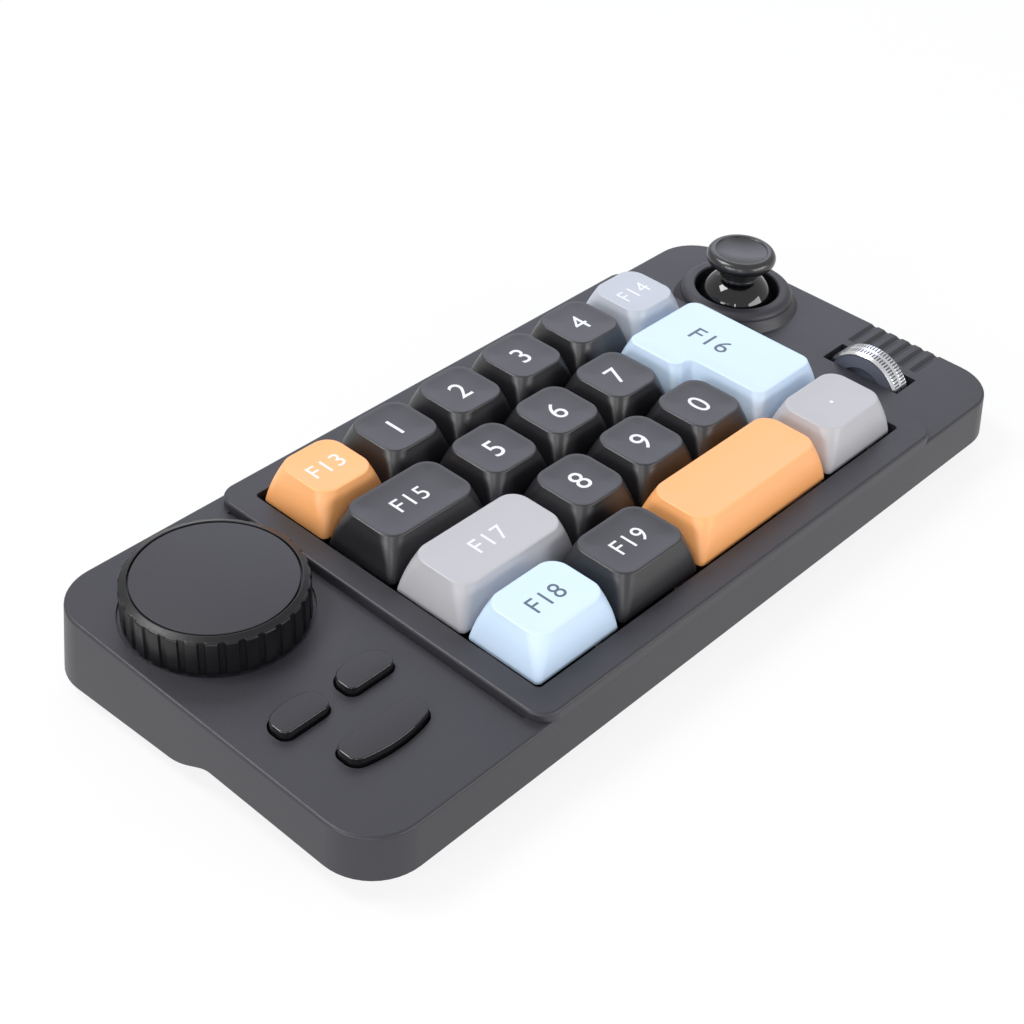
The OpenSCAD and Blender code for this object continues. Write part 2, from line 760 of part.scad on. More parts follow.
module switch_housing() {
    flange_top = plate_top + flange_t;
    difference() {
        union() {
            between(plate_top, flange_top) square(flange, center = true);
            between(board_top, plate_top + 0.1) square(housing, center = true);
            intersection() {
                along_y(-flange, flange)
                    polygon([[-housing / 2, plate_top], [housing / 2, plate_top],
                        [roof_w / 2, housing_top], [-roof_w / 2, housing_top]]);
                along_x(-flange, flange)
                    polygon([[-housing / 2, plate_top], [housing / 2, plate_top],
                        [roof_d / 2, housing_top], [-roof_d / 2, housing_top]]);
            }
            translate([0, 0, board_top - leg_l]) cylinder(r = pin_r, h = leg_l + over);
            at_legs() translate([0, 0, board_top - leg_l]) cylinder(r = leg_r, h = leg_l + over);
        }
        between(housing_top - stem_l - key_travel - loose_gap, housing_top + over)
            square([stem_w + 2 * stem_gap, stem_d + 2 * stem_gap], center = true);
    }
}

// The two contact legs of a switch
module at_legs() {
    translate([-3 * leg_grid, 2 * leg_grid, 0]) children();
    translate([2 * leg_grid, 4 * leg_grid, 0]) children();
}

module switch_housings() {
    color(switch_black) placed()
        for (k = KEYS) at_switch(k) switch_housing();
}

module switch_plate() {
    side = 1.3 * skirt_t;
    color(steel) placed() difference() {
        between(plate_top - plate_t, plate_top)
            rounded(well[0] - side, well[1] - side, well[2] + side, well[3] + side, well_r);
        for (k = KEYS) at_switch(k)
            between(plate_top - plate_t - over, plate_top + over) square(cutout, center = true);
    }
}

// ---- Case ----

// Upper face of the shell's collar: a straight flare, then a quarter of an ellipse to the flat lip
module collar() {
    rotate_extrude()
        polygon(concat(
            [[collar_hole_r - over, deck_under], [collar_foot_r, deck_under], [collar_foot_r, deck_top]],
            [for (a = [0:7.5:90])
                [collar_lip_r + (collar_r - collar_lip_r) * cos(a),
                    collar_mid_z + (collar_top - collar_mid_z) * sin(a)]],
            [[collar_hole_r - over, collar_top]]
        ));
}

module collar_hole() {
    translate([0, 0, deck_under - over]) cylinder(r = collar_hole_r, h = collar_top - deck_under + 2 * over);
    translate([0, 0, collar_top - collar_hole_edge])
        cylinder(r1 = collar_hole_r, r2 = collar_hole_r + 2 * collar_hole_edge, h = 2 * collar_hole_edge);
}

module shell_blank() {
    intersection() {
        block(body_x0, body_y0, body_x1, body_y1, body_r, deck_top, lowest_z, wall_grow(lowest_z));
        above_edge(rim_z, rim_rise);
    }
    block(surround_x0, surround_y0, surround_x1, surround_y1, surround_r, surround_top, slope_z, 0);
    translate([stick_x, stick_y, 0]) collar();
}

module surround_grooves() {
    for (x = [surround_x0 - groove_w, surround_x1])
        translate([x, surround_y0 + surround_r, deck_top - groove_d])
            cube([groove_w, surround_y1 - surround_y0 - 2 * surround_r, groove_d + over]);
}

module side_groove_cuts() {
    for (i = [0:side_grooves - 1])
        translate([
            side_groove_x,
            side_groove_y + (i - (side_grooves - 1) / 2) * side_groove_pitch,
            deck_top - side_groove_d + side_groove_r
        ])
            rotate([0, 90, 0]) cylinder(r = side_groove_r, h = body_x1 - side_groove_x + over);
}

module usb_outline(grow) {
    r = usb_h / 2 + grow;
    hull_w = usb_w / 2 - usb_h / 2;
    translate([usb_x - hull_w, usb_z - r]) square([2 * hull_w, 2 * r]);
    for (side = [-1, 1]) translate([usb_x + side * hull_w, usb_z]) circle(r);
}

module top_case() {
    color(charcoal) placed() difference() {
        union() {
            difference() {
                shell_blank();
                between(lowest_z - over, deck_under) body_outline(wall);
            }
            between(plate_top, deck_under + over)
                rounded(well[0] - skirt_t, well[1] - skirt_t, well[2] + skirt_t, well[3] + skirt_t,
                    well_r + skirt_t);
            at_screws() translate([0, 0, board_under])
                cylinder(r = boss_r, h = deck_under + over - board_under);
        }
        between(plate_top - over, surround_top + over) rounded(well[0], well[1], well[2], well[3], well_r);
        translate([dial_x, dial_y, 0]) {
            translate([0, 0, deck_top - recess_d]) cylinder(r = recess_r, h = recess_d + over);
            translate([0, 0, deck_under - over]) cylinder(r = bushing_r + loose_gap, h = deck_t + 2 * over);
        }
        for (b = BUTTONS) between(deck_under - over, deck_top + over) polygon(button_path(b, button_gap));
        translate([stick_x, stick_y, 0]) collar_hole();
        translate([slot_x0, slot_y0, deck_under - over])
            cube([slot_x1 - slot_x0, slot_y1 - slot_y0, deck_t + 2 * over]);
        surround_grooves();
        side_groove_cuts();
        at_screws() translate([0, 0, board_under - over])
            cylinder(r = screw_r + fit_gap, h = deck_under - over - board_under);
        along_y(body_y1 - wall - over, body_y1 + 3 * over) usb_outline(usb_gap);
    }
}

module roller_disc(r, x0, x1) {
    translate([x0, roller_y, roller_z]) rotate([0, 90, 0]) cylinder(r = r, h = x1 - x0);
}

module feet(grow) {
    for (x = foot_xs, y = foot_ys)
        translate([x - mid_x, y * cos(type_angle) - table_z(y) * sin(type_angle) - mid_y, 0])
            cylinder(r = foot_r + grow, h = foot_h);
}

axle_post_x = slot_x1 + 0.7;
pocket_x0 = roller_x - pocket_gap;
pocket_x1 = roller_x + roller_w + pocket_gap;

module tray_blank() {
    hull($fn = hull_fn) {
        between(pan_edge_z, pan_edge_z + 0.1) body_outline(tray_inset);
        between(pan_z, pan_edge_z) body_outline(tray_inset + pan_bevel);
    }
    between(pan_edge_z, lip_top) body_outline(tray_inset);
    intersection() {
        between(lowest_z - over, pan_edge_z + 0.1) body_outline(tray_inset);
        above_edge(pan_edge_z, foot_rise);
        translate([body_x0, step_y0, -50]) cube([body_x1 - body_x0, body_y1 - step_y0, 50]);
    }
}

// A pillar from the tray's floor up to the board
module pillar(x, y, r) {
    foot = floor_z(y) - 0.3;
    translate([x, y, foot]) cylinder(r = r, h = board_under - foot);
}

module bottom_case() {
    color(charcoal) difference() {
        placed() difference() {
            union() {
                difference() {
                    union() {
                        tray_blank();
                        intersection() {
                            roller_disc(roller_r + pocket_gap + pocket_wall,
                                pocket_x0 - pocket_wall, pocket_x1 + pocket_wall);
                            translate([slot_x0 - over, 0, -50]) cube([slot_x1 - slot_x0, 40, 50 + pan_floor]);
                        }
                    }
                    intersection() {
                        between(lowest_z, pan_edge_z + 0.1) body_outline(inner_inset + 0.5);
                        above_floor();
                    }
                    between(pan_edge_z, lip_top + over) body_outline(inner_inset);
                    translate([usb_x - usb_w / 2 - usb_gap, body_y1 - inner_inset - over, 0])
                        translate([0, 0, board_top - usb_gap])
                            cube([usb_w + 2 * usb_gap, inner_inset + over, usb_h]);
                }
                for (x = screw_xs, y = screw_ys) pillar(x, y, pillar_r);
                for (x = post_xs) pillar(x, 2 * U, pillar_r / 2);
                translate([axle_post_x, roller_y - axle_post_d / 2, pan_floor - 0.1])
                    cube([axle_post_t, axle_post_d, roller_z + axle_r + 0.6 - pan_floor + 0.1]);
            }
            roller_disc(roller_r + pocket_gap, pocket_x0, pocket_x1);
            roller_disc(axle_r + running_gap, axle_post_x - over, axle_post_x + axle_post_t + over);
            at_screws() {
                translate([0, 0, board_under - head_seat - 20]) cylinder(r = head_r + loose_gap, h = 20);
                translate([0, 0, board_under - head_seat - over])
                    cylinder(r = screw_r + loose_gap, h = head_seat + 2 * over);
            }
        }
        feet(loose_gap);
    }
}

module case_screws() {
    seat = board_under - head_seat;
    color(steel) placed() at_screws() difference() {
        union() {
            translate([0, 0, seat - head_h]) cylinder(r = head_r, h = head_h);
            translate([0, 0, seat - 0.1]) cylinder(r = screw_r, h = deck_under - 2 * over - seat);
        }
        translate([0, 0, seat - head_h - 0.1]) cylinder(r = head_r / 2, h = head_h / 2 + 0.1, $fn = 6);
    }
}

module rubber_feet() {
    color(rubber_black) feet(0);
}

// ---- Circuit board and socket ----

module circuit_board() {
    color(board_green) placed() difference() {
        between(board_under, board_top) body_outline(board_inset);
        translate([0, 0, board_under - over]) {
            for (k = KEYS) at_switch(k) {
                cylinder(r = pin_r + running_gap, h = board_t + 2 * over);
                at_legs() cylinder(r = leg_r + running_gap, h = board_t + 2 * over);
            }
            at_screws() cylinder(r = boss_r + loose_gap, h = board_t + 2 * over);
            at_encoder_legs() cylinder(r = leg_r + running_gap, h = board_t + 2 * over);
            translate([slot_x0 - 0.1, slot_y0, 0])
                cube([axle_post_x + axle_post_t + 0.5 - slot_x0, slot_y1 - slot_y0, board_t + 2 * over]);
        }
    }
}

module usb_socket() {
    color(steel) placed() {
        difference() {
            along_y(usb_mouth - usb_l, usb_mouth) usb_outline(0);
            along_y(usb_mouth - usb_l + over, usb_mouth + over) usb_outline(-usb_t);
        }
        translate([usb_x - usb_w / 3, usb_mouth - usb_l + 0.5, usb_z - usb_t])
            cube([2 * usb_w / 3, usb_l - 1.2, 2 * usb_t]);
    }
}

// ---- Dial ----

module at_dial() {
    translate([dial_x, dial_y, 0]) children();
}

// The legs of the dial's encoder: three signals in front, two of the push contact behind
module at_encoder_legs() {
    at_dial() {
        for (i = [-1:1]) translate([2.5 * i, -encoder_w / 2 + 1, 0]) children();
        for (i = [-1, 1]) translate([2.5 * i, encoder_w / 2 - 1, 0]) children();
    }
}

module d_shaft(r, z0, z1) {
    translate([0, 0, z0]) difference() {
        cylinder(r = r, h = z1 - z0);
        translate([shaft_r / 2 + r - shaft_r, -2 * r, -over]) cube([2 * r, 4 * r, z1 - z0 + 2 * over]);
    }
}

module encoder_body() {
    body_top = board_top + encoder_h;
    color(steel) placed() {
        at_dial() difference() {
            union() {
                between(board_top, body_top) square(encoder_w, center = true);
                translate([0, 0, body_top - 0.5]) cylinder(r = bushing_r, h = bushing_top - body_top + 0.5);
            }
            translate([0, 0, body_top - shaft_depth - loose_gap])
                cylinder(r = shaft_r + running_gap, h = bushing_top - body_top + shaft_depth + over);
        }
        at_encoder_legs() translate([0, 0, board_top - leg_l]) cylinder(r = leg_r, h = leg_l + over);
    }
}

module encoder_shaft() {
    color(steel) placed() at_dial() {
        translate([0, 0, board_top + encoder_h - shaft_depth])
            cylinder(r = shaft_r, h = shaft_flat - board_top - encoder_h + shaft_depth);
        d_shaft(shaft_r, shaft_flat - 0.1, shaft_top);
    }
}

module knob_cap() {
    shoulder_z = dial_top - dial_shoulder_drop;
    inlay_hole = inlay_r + inlay_gap;
    hub_foot = max(bushing_top, shaft_flat) + loose_gap;
    color(charcoal) placed() at_dial() difference() {
        rotate_extrude()
            polygon([
                [0, hub_foot], [hub_r, hub_foot], [hub_r, dial_hollow],
                [dial_r - dial_wall, dial_hollow], [dial_r - dial_wall, dial_foot],
                [dial_r, dial_foot], [dial_r, shoulder_z - 0.2], [dial_r - 0.1, shoulder_z],
                [dial_r - dial_shoulder, dial_top], [inlay_hole, dial_top],
                [inlay_hole, dial_top - inlay_t], [0, dial_top - inlay_t]
            ]);
        d_shaft(shaft_r + fit_gap, bushing_top, shaft_top + loose_gap);
        for (i = [0:dial_grooves - 1])
            rotate([0, 0, 360 * i / dial_grooves])
                translate([dial_r + 0.15, 0, dial_foot - over])
                    cylinder(r = dial_groove_r, h = cap_h, $fn = 24);
    }
}

module knob_disc() {
    color(charcoal) placed() at_dial()
        translate([0, 0, dial_top - inlay_t]) cylinder(r = inlay_r, h = inlay_t);
}

// ---- Push buttons ----

// Buttons: centre, width, depth, bow of the rear edge, bow of the front edge
LEFT_BUTTON = [[left_button_x, small_row_y], small_button_w, small_button_d, small_bow, 0];
RIGHT_BUTTON = [[right_button_x, small_row_y], small_button_w, small_button_d, small_bow, 0];
WIDE_BUTTON = [[wide_button_x, wide_button_y], wide_button_w, wide_button_d, 0, wide_bow];
BUTTONS = [LEFT_BUTTON, RIGHT_BUTTON, WIDE_BUTTON];

// A rounded rectangle, its long edges bent by a parabola that leaves their middles in place
function button_path(b, grow) =
    let (
        hw = b[1] / 2 + grow,
        hd = b[2] / 2 + grow,
        r = button_r + grow,
        flat_w = hw - r,
        arc = function (sx, sy, from) [
            for (a = [0:15:90]) [sx * flat_w + r * cos(from + a), sy * (hd - r) + r * sin(from + a)]
        ],
        edge = function (sx, y) [for (i = [1:9]) [sx * flat_w * (1 - i / 5), y]],
        loop = concat(arc(1, 1, 0), edge(1, hd), arc(-1, 1, 90), arc(-1, -1, 180), edge(-1, -hd),
            arc(1, -1, 270))
    )
    [for (p = loop)
        b[0] + [p.x, p.y - (p.y > 0 ? b[3] : -b[4]) * pow(p.x / hw, 2)]];

module button(b) {
    flange_top = deck_under - flange_gap;
    plunger_end = board_top + tact_h - plunger_in;
    shoulder = button_top - button_bevel;
    color(gloss_black) placed() {
        between(flange_top - button_flange_t, flange_top) polygon(button_path(b, button_flange));
        between(flange_top - 0.1, shoulder) polygon(button_path(b, 0));
        hull() {
            between(shoulder - 0.1, shoulder) polygon(button_path(b, 0));
            between(shoulder, button_top) polygon(button_path(b, -button_bevel));
        }
        translate([b[0].x, b[0].y, plunger_end]) cylinder(r = plunger_r, h = flange_top - 0.1 - plunger_end);
    }
}

module button_left() {
    button(LEFT_BUTTON);
}

module button_right() {
    button(RIGHT_BUTTON);
}

module button_long() {
    button(WIDE_BUTTON);
}

module button_switches() {
    color(switch_black) placed()
        for (b = BUTTONS) translate([b[0].x, b[0].y, board_top]) difference() {
            between(0, tact_h) square(tact_w, center = true);
            translate([0, 0, tact_h - plunger_in - button_travel - loose_gap])
                cylinder(r = plunger_r + stem_gap, h = tact_h);
        }
}

// ---- Thumbstick ----

module at_pivot() {
    translate([stick_x, stick_y, pivot_z]) children();
}

// An arc of a sphere's outline round the pivot, from one angle off the axis to another
function dome_arc(r, from, to) = [
    for (i = [0:12]) let (a = from + (to - from) * i / 12) r * [sin(a), cos(a)]
];

module thumbstick() {
    inner_r = dome_r - dome_t;
    grip_under = grip_z - pivot_z;
    grip_mid = grip_mid_z - pivot_z;
    grip_rim = grip_top - pivot_z;
    flange_a = asin(neck_flange_r / dome_r);
    post_a = asin(stick_post_r * 1.25 / inner_r);
    color(charcoal) placed() at_pivot() {
        rotate_extrude()
            polygon(concat(
                [[0, -stick_post_l], [stick_post_r, -stick_post_l], [stick_post_r, 1.5],
                    [stick_post_r * 1.25, 2.5]],
                dome_arc(inner_r, post_a, dome_half),
                dome_arc(dome_r, dome_half, flange_a),
                [[neck_flange_r, dome_r * cos(flange_a) + 0.2], [neck_r, dome_r * cos(flange_a) + 0.4],
                    [neck_r, grip_under - 0.4], [neck_r + 0.3, grip_under - 0.1]],
                [for (a = [-90:15:0])
                    [grip_under_r + (grip_r - grip_under_r) * cos(a),
                        grip_mid + (grip_mid - grip_under) * sin(a)]],
                [for (a = [15:15:90])
                    [grip_rim_r + (grip_r - grip_rim_r) * cos(a), grip_mid + (grip_rim - grip_mid) * sin(a)]],
                [for (a = [120:30:180])
                    [grip_rim_r + grip_lip * cos(a), grip_rim - grip_lip * (1 - sin(a)) / 2]],
                [for (t = [0.8:-0.2:0])
                    [(grip_rim_r - grip_lip) * t,
                        grip_rim - grip_dish + (grip_dish - grip_lip / 2) * t * t]]
            ));
        rotate([90, 0, 0]) cylinder(r = gimbal_pin_r, h = 2 * ring_out - 0.4, center = true);
    }
}

module joystick_gimbal() {
    color(steel) placed() at_pivot() difference() {
        union() {
            cylinder(r = ring_out, h = ring_h, center = true);
            rotate([0, 90, 0]) cylinder(r = gimbal_pin_r, h = 2 * (cheek_x + cheek_t) - 0.4, center = true);
        }
        cylinder(r = ring_in, h = ring_h + over, center = true);
        rotate([90, 0, 0]) cylinder(r = gimbal_pin_r + running_gap, h = 3 * ring_out, center = true);
    }
}

module joystick_base() {
    base_top = pivot_z + dome_r * cos(dome_half + acos(pow(cos(stick_lean), 2))) - module_gap;
    color(switch_black) placed() translate([stick_x, stick_y, 0]) difference() {
        union() {
            between(board_top, base_top) square(module_w, center = true);
            for (side = [-1, 1])
                translate([side * (cheek_x + cheek_t / 2) - cheek_t / 2, -cheek_d / 2, base_top - 0.1])
                    cube([cheek_t, cheek_d, pivot_z + cheek_over - base_top + 0.1]);
            translate([-sensor_w / 2, module_w / 2 - 0.1, board_top]) cube([sensor_w, sensor_t, sensor_h]);
            translate([-module_w / 2 - sensor_t + 0.1, -sensor_w / 2, board_top])
                cube([sensor_t, sensor_w, sensor_h]);
        }
        translate([0, 0, base_top - module_hollow])
            cylinder(r = module_hollow_r, h = module_hollow);
        translate([0, 0, pivot_z]) rotate([0, 90, 0])
            cylinder(r = gimbal_pin_r + running_gap, h = 3 * module_w, center = true);
    }
}

// ---- Roller ----

module roller_rim() {
    inner = wheel_r + fit_gap;
    groove_x0 = (roller_w - rim_groove_w) / 2;
    groove_x1 = (roller_w + rim_groove_w) / 2;
    color(steel) placed() translate([roller_x, roller_y, roller_z]) rotate([0, 90, 0])
        rotate_extrude()
            polygon([
                [inner, 0], [roller_r - roller_bevel, 0], [roller_r, roller_bevel],
                [roller_r, groove_x0], [roller_r - rim_groove_d, groove_x0],
                [roller_r - rim_groove_d, groove_x1], [roller_r, groove_x1],
                [roller_r, roller_w - roller_bevel], [roller_r - roller_bevel, roller_w], [inner, roller_w]
            ]);
}

module roller_hub() {
    face = 0.1;
    color(switch_black) placed() difference() {
        union() {
            roller_disc(wheel_r, roller_x + face, roller_x + roller_w - face);
            roller_disc(axle_r, roller_encoder_x + 0.8, axle_post_x + axle_post_t - 0.4);
        }
        wheel_recess(roller_x - 0.1, roller_x + face + wheel_recess_d);
        wheel_recess(roller_x + roller_w - face - wheel_recess_d, roller_x + roller_w + 0.1);
    }
}

// The ring-shaped recess round the axle in one face of the wheel
module wheel_recess(x0, x1) {
    difference() {
        roller_disc(wheel_r - wheel_face, x0, x1);
        roller_disc(2 * axle_r, x0 - over, x1 + over);
    }
}

roller_encoder_x = slot_x0 - 0.4 - roller_encoder_w;

module roller_encoder() {
    color(board_green) placed() difference() {
        translate([roller_encoder_x, roller_y - roller_encoder_d / 2, board_top])
            cube([roller_encoder_w, roller_encoder_d, roller_encoder_h]);
        roller_disc(axle_r + running_gap, roller_encoder_x + 0.6, slot_x0);
    }
}

// ---- The pieces ----

for (k = KEYS) {
    keycap(k);
    stem(k);
}
top_case();
bottom_case();
switch_plate();
circuit_board();
switch_housings();
knob_cap();
knob_disc();
encoder_shaft();
encoder_body();
button_left();
button_right();
button_long();
button_switches();
thumbstick();
joystick_gimbal();
joystick_base();
roller_rim();
roller_hub();
roller_encoder();
usb_socket();
rubber_feet();
case_screws();
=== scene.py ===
"""A macro keypad with a dial, a thumbstick, a knurled roller and push buttons, dressed around its frame.

The pieces are drawn in millimetres in the key frame, as the solids are: X along the keypad, Y to its
back, Z square to the keys, with the origin at the front left corner of the key grid, level with the
keycaps' lower edges. KEY_FRAME then brings them to the row frame in metres.
"""

import json
import math

import bmesh
import bpy
from mathutils import Matrix, Vector
from mathutils.bvhtree import BVHTree


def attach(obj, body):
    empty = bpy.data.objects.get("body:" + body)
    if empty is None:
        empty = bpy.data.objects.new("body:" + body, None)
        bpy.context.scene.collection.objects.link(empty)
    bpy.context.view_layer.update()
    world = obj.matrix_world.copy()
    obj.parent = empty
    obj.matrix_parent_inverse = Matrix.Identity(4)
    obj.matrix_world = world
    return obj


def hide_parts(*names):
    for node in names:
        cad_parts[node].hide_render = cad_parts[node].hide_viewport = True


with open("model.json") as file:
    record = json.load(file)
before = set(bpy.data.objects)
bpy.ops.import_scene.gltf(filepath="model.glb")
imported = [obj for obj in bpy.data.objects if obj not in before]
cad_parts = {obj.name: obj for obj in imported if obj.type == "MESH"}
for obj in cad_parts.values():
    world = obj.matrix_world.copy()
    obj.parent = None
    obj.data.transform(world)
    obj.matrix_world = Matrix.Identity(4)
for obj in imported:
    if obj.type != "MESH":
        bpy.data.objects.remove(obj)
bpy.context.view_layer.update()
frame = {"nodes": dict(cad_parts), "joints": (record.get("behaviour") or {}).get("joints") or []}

MM = 0.001
SMOOTH_ANGLE = math.radians(32)

# ---- Where the key frame lies ----

DIAL_CENTRE = Vector((-26.7, 57.7))
JOINTS = {joint["name"]: joint for joint in frame["joints"]}
UP = Vector(JOINTS["turn_dial"]["axis"]).normalized()
RIGHT = Vector((1, 0, 0))
BACK = UP.cross(RIGHT)
ORIGIN = Vector(JOINTS["turn_dial"]["pos_m"]) - (RIGHT * DIAL_CENTRE.x + BACK * DIAL_CENTRE.y) * MM
TURN = Matrix((RIGHT, BACK, UP)).transposed().to_4x4()
KEY_FRAME = Matrix.Translation(ORIGIN) @ TURN @ Matrix.Scale(MM, 4)

# ---- Sizes, in millimetres, with angles in degrees ----

KEY_PITCH = 19.05
CAP_HEIGHT = 9.0
CAP_FOOT_INSET = 0.45
CAP_TOP_INSET = 2.38
CAP_BULGE = 0.35
CAP_FOOT_RADIUS = 1.2
CAP_TOP_RADIUS = 4.0
CAP_NOTCHED_RADIUS = 2.8
CAP_INNER_RADIUS = 0.7
CAP_INNER_TOP_RADIUS = 1.8
CAP_EDGE = 0.3
CAP_DISH = 0.35
CAP_DISH_RUN = 5.2
CAP_WALL = 1.4
CAP_ROOF = 2.0
CAP_LEAST_RADIUS = 0.4
POST_RADIUS = 2.75
POST_INTO_ROOF = 0.3
HOUSING_TOP = 1.2

DIAL_RADIUS = 18.0
DIAL_TOP = 6.98
DIAL_FOOT = -1.3
DIAL_SHOULDER = 1.5
DIAL_SHOULDER_DROP = 0.7
DIAL_WALL = 1.6
DIAL_HOLLOW = 4.4
DIAL_HUB = 5.0
DIAL_HUB_FOOT = 1.8
DIAL_CORE_RISE = 0.12
DIAL_CREST = (0.3, 0.22)
DIAL_CREST_INSET = 0.1
DIAL_CREST_START = 50
INLAY_RADIUS = 15.9
INLAY_GAP = 0.35
INLAY_THICKNESS = 0.8
INLAY_EDGE = 0.15
INLAY_SEAT_EDGE = 0.1
GRIP_COUNT = 30
GRIP_DEPTH = 0.4
GRIP_GAP = 1.05
LAND_ROOT = 0.3
LAND_EDGE = 0.25

BUTTON_TOP = 0.75
BUTTON_BEVEL = 0.25
BUTTON_RADIUS = 1.8
BUTTON_FLANGE_TOP = -3.3
BUTTON_FLANGE = 0.8
BUTTON_FLANGE_THICKNESS = 0.8
BUTTON_LAP = 0.1
BUTTON_FACE_MARGIN = 0.01
PLUNGER_RADIUS = 1.75
PLUNGER_END = -7.8

STICK_CENTRE = Vector((132.56, 57.33, -2.2))
DOME_RADIUS = 9.3
DOME_THICKNESS = 1.2
DOME_HALF = 80
NECK_RADIUS = 4.5
NECK_FLANGE = 4.8
GRIP_UNDER = 11.0
GRIP_UNDER_RADIUS = 5.4
GRIP_MIDDLE = 13.2
GRIP_TOP = 14.95
GRIP_RADIUS = 8.15
GRIP_RIM_RADIUS = 6.5
GRIP_LIP = 0.6
GRIP_DISH = 1.1
GRIP_RIM_START = 6
GRIP_LIP_START = 105
NECK_FLANGE_RISE = 0.15
NECK_FOOT_RISE = 0.45
NECK_FOOT_FILLET = 0.25
NECK_TOP_FILLET = 0.5
STICK_POST = 2.0
STICK_POST_LENGTH = 1.2
STICK_POST_FLARE = 1.25
STICK_POST_FLARE_START = 1.5
STICK_POST_FLARE_END = 2.5
GIMBAL_PIN = 0.6
GIMBAL_PIN_HALF = 4.3

ROLLER_LEFT = 128.85
ROLLER_CENTRE = Vector((18.0, -6.09))
ROLLER_WIDTH = 5.35
ROLLER_RADIUS = 10.05
ROLLER_INNER = 9.18
ROLLER_BEVEL = 0.6
RIM_EDGE = 0.08
RIM_BAND_DROP = 0.02
RIM_WALL_RUN = 0.04
RIM_GROOVE = 0.9
RIM_GROOVE_DROP = 0.05
KNURL_DEPTH = 0.25
KNURL_COUNT = 84
TOOTH_GAP = 0.05
TOOTH_ROOT = 0.1
TOOTH_DROP = 0.15
TOOTH_RUN = 0.12
# Shares of the knurl's pitch on each side of a tooth's middle
TOOTH_FOOT_SHARE = 0.48
TOOTH_TOP_SHARE = 0.26
SLOT_FLOOR_MARGIN = 0.3
SLOT_TOP_MARGIN = 0.1
SLOT_REACH = 2.05


def new_object(name, data):
    thing = bpy.data.objects.new(name, data)
    bpy.context.scene.collection.objects.link(thing)
    return thing


# ---- The photograph's view ----

CAMERA_PLACE = Vector((-187.23, -153.78, 235.52))
CAMERA_RIGHT = Vector((0.68217, -0.72976, 0.04574))
CAMERA_UP = Vector((0.43408, 0.45452, 0.77781))
CAMERA_LENS = 65.385
SENSOR = 36.0
NEAR_CLIP = 0.01


def set_camera():
    data = bpy.data.cameras.new("photo_view")
    data.lens = CAMERA_LENS
    data.sensor_width = SENSOR
    data.clip_start = NEAR_CLIP
    camera = new_object("photo_view", data)
    right = TURN.to_3x3() @ CAMERA_RIGHT.normalized()
    up = TURN.to_3x3() @ CAMERA_UP.normalized()
    turn = Matrix((right, up, right.cross(up))).transposed().to_4x4()
    camera.matrix_world = Matrix.Translation(KEY_FRAME @ CAMERA_PLACE) @ turn
    bpy.context.scene.camera = camera


# ---- Shared finishes ----

BLOTCH_DETAIL = 4
BLOTCH_ROUGHNESS = 0.6
GRAIN_DETAIL = 2
# In metres, as the materials see the pieces
GRAIN_DISTANCE = 0.0001


def link(tree, source, output, target, socket):
    tree.links.new(source.outputs[output], target.inputs[socket])


def math_step(tree, operation, *values):
    """A Math node. Each value is a number or a pair of a node and its output."""
    step = tree.nodes.new("ShaderNodeMath")
    step.operation = operation
    for place, value in enumerate(values):
        if isinstance(value, tuple):
            link(tree, *value, step, place)
        else:
            step.inputs[place].default_value = value
    return step


def finish_group():
    """Moulded surface: blotches of tone and gloss over a fine grain."""
    tree = bpy.data.node_groups.new("moulded_finish", "ShaderNodeTree")
    sockets = [
        ("Colour", "NodeSocketColor", (0.5, 0.5, 0.5, 1)),
        ("Tone", "NodeSocketFloat", 0.06),
        ("Roughness", "NodeSocketFloat", 0.4),
        ("Gloss Spread", "NodeSocketFloat", 0.08),
        ("Blotch Scale", "NodeSocketFloat", 60.0),
        ("Grain Scale", "NodeSocketFloat", 3000.0),
        ("Grain Depth", "NodeSocketFloat", 0.2),
    ]
    for name, kind, value in sockets:
        tree.interface.new_socket(name, in_out="INPUT", socket_type=kind).default_value = value
    tree.interface.new_socket("Colour", in_out="OUTPUT", socket_type="NodeSocketColor")
    tree.interface.new_socket("Roughness", in_out="OUTPUT", socket_type="NodeSocketFloat")
    tree.interface.new_socket("Normal", in_out="OUTPUT", socket_type="NodeSocketVector")
    inside = tree.nodes.new("NodeGroupInput")
    outside = tree.nodes.new("NodeGroupOutput")
    place = tree.nodes.new("ShaderNodeTexCoord")

    blotch = tree.nodes.new("ShaderNodeTexNoise")
    blotch.inputs["Detail"].default_value = BLOTCH_DETAIL
    blotch.inputs["Roughness"].default_value = BLOTCH_ROUGHNESS
    link(tree, place, "Object", blotch, "Vector")
    link(tree, inside, "Blotch Scale", blotch, "Scale")
    centred = math_step(tree, "SUBTRACT", (blotch, "Fac"), 0.5)

    tone = math_step(tree, "MULTIPLY_ADD", (centred, "Value"), (inside, "Tone"), 1)
    shade = tree.nodes.new("ShaderNodeVectorMath")
    shade.operation = "SCALE"
    link(tree, inside, "Colour", shade, 0)
    link(tree, tone, "Value", shade, "Scale")
    link(tree, shade, "Vector", outside, "Colour")

    gloss = math_step(
        tree, "MULTIPLY_ADD", (centred, "Value"), (inside, "Gloss Spread"), (inside, "Roughness"))
    link(tree, gloss, "Value", outside, "Roughness")

    grain = tree.nodes.new("ShaderNodeTexNoise")
    grain.inputs["Detail"].default_value = GRAIN_DETAIL
    link(tree, place, "Object", grain, "Vector")
    link(tree, inside, "Grain Scale", grain, "Scale")
    bump = tree.nodes.new("ShaderNodeBump")
    bump.inputs["Distance"].default_value = GRAIN_DISTANCE
    link(tree, inside, "Grain Depth", bump, "Strength")
    link(tree, grain, "Fac", bump, "Height")
    link(tree, bump, "Normal", outside, "Normal")
    return tree


MOULDED = finish_group()


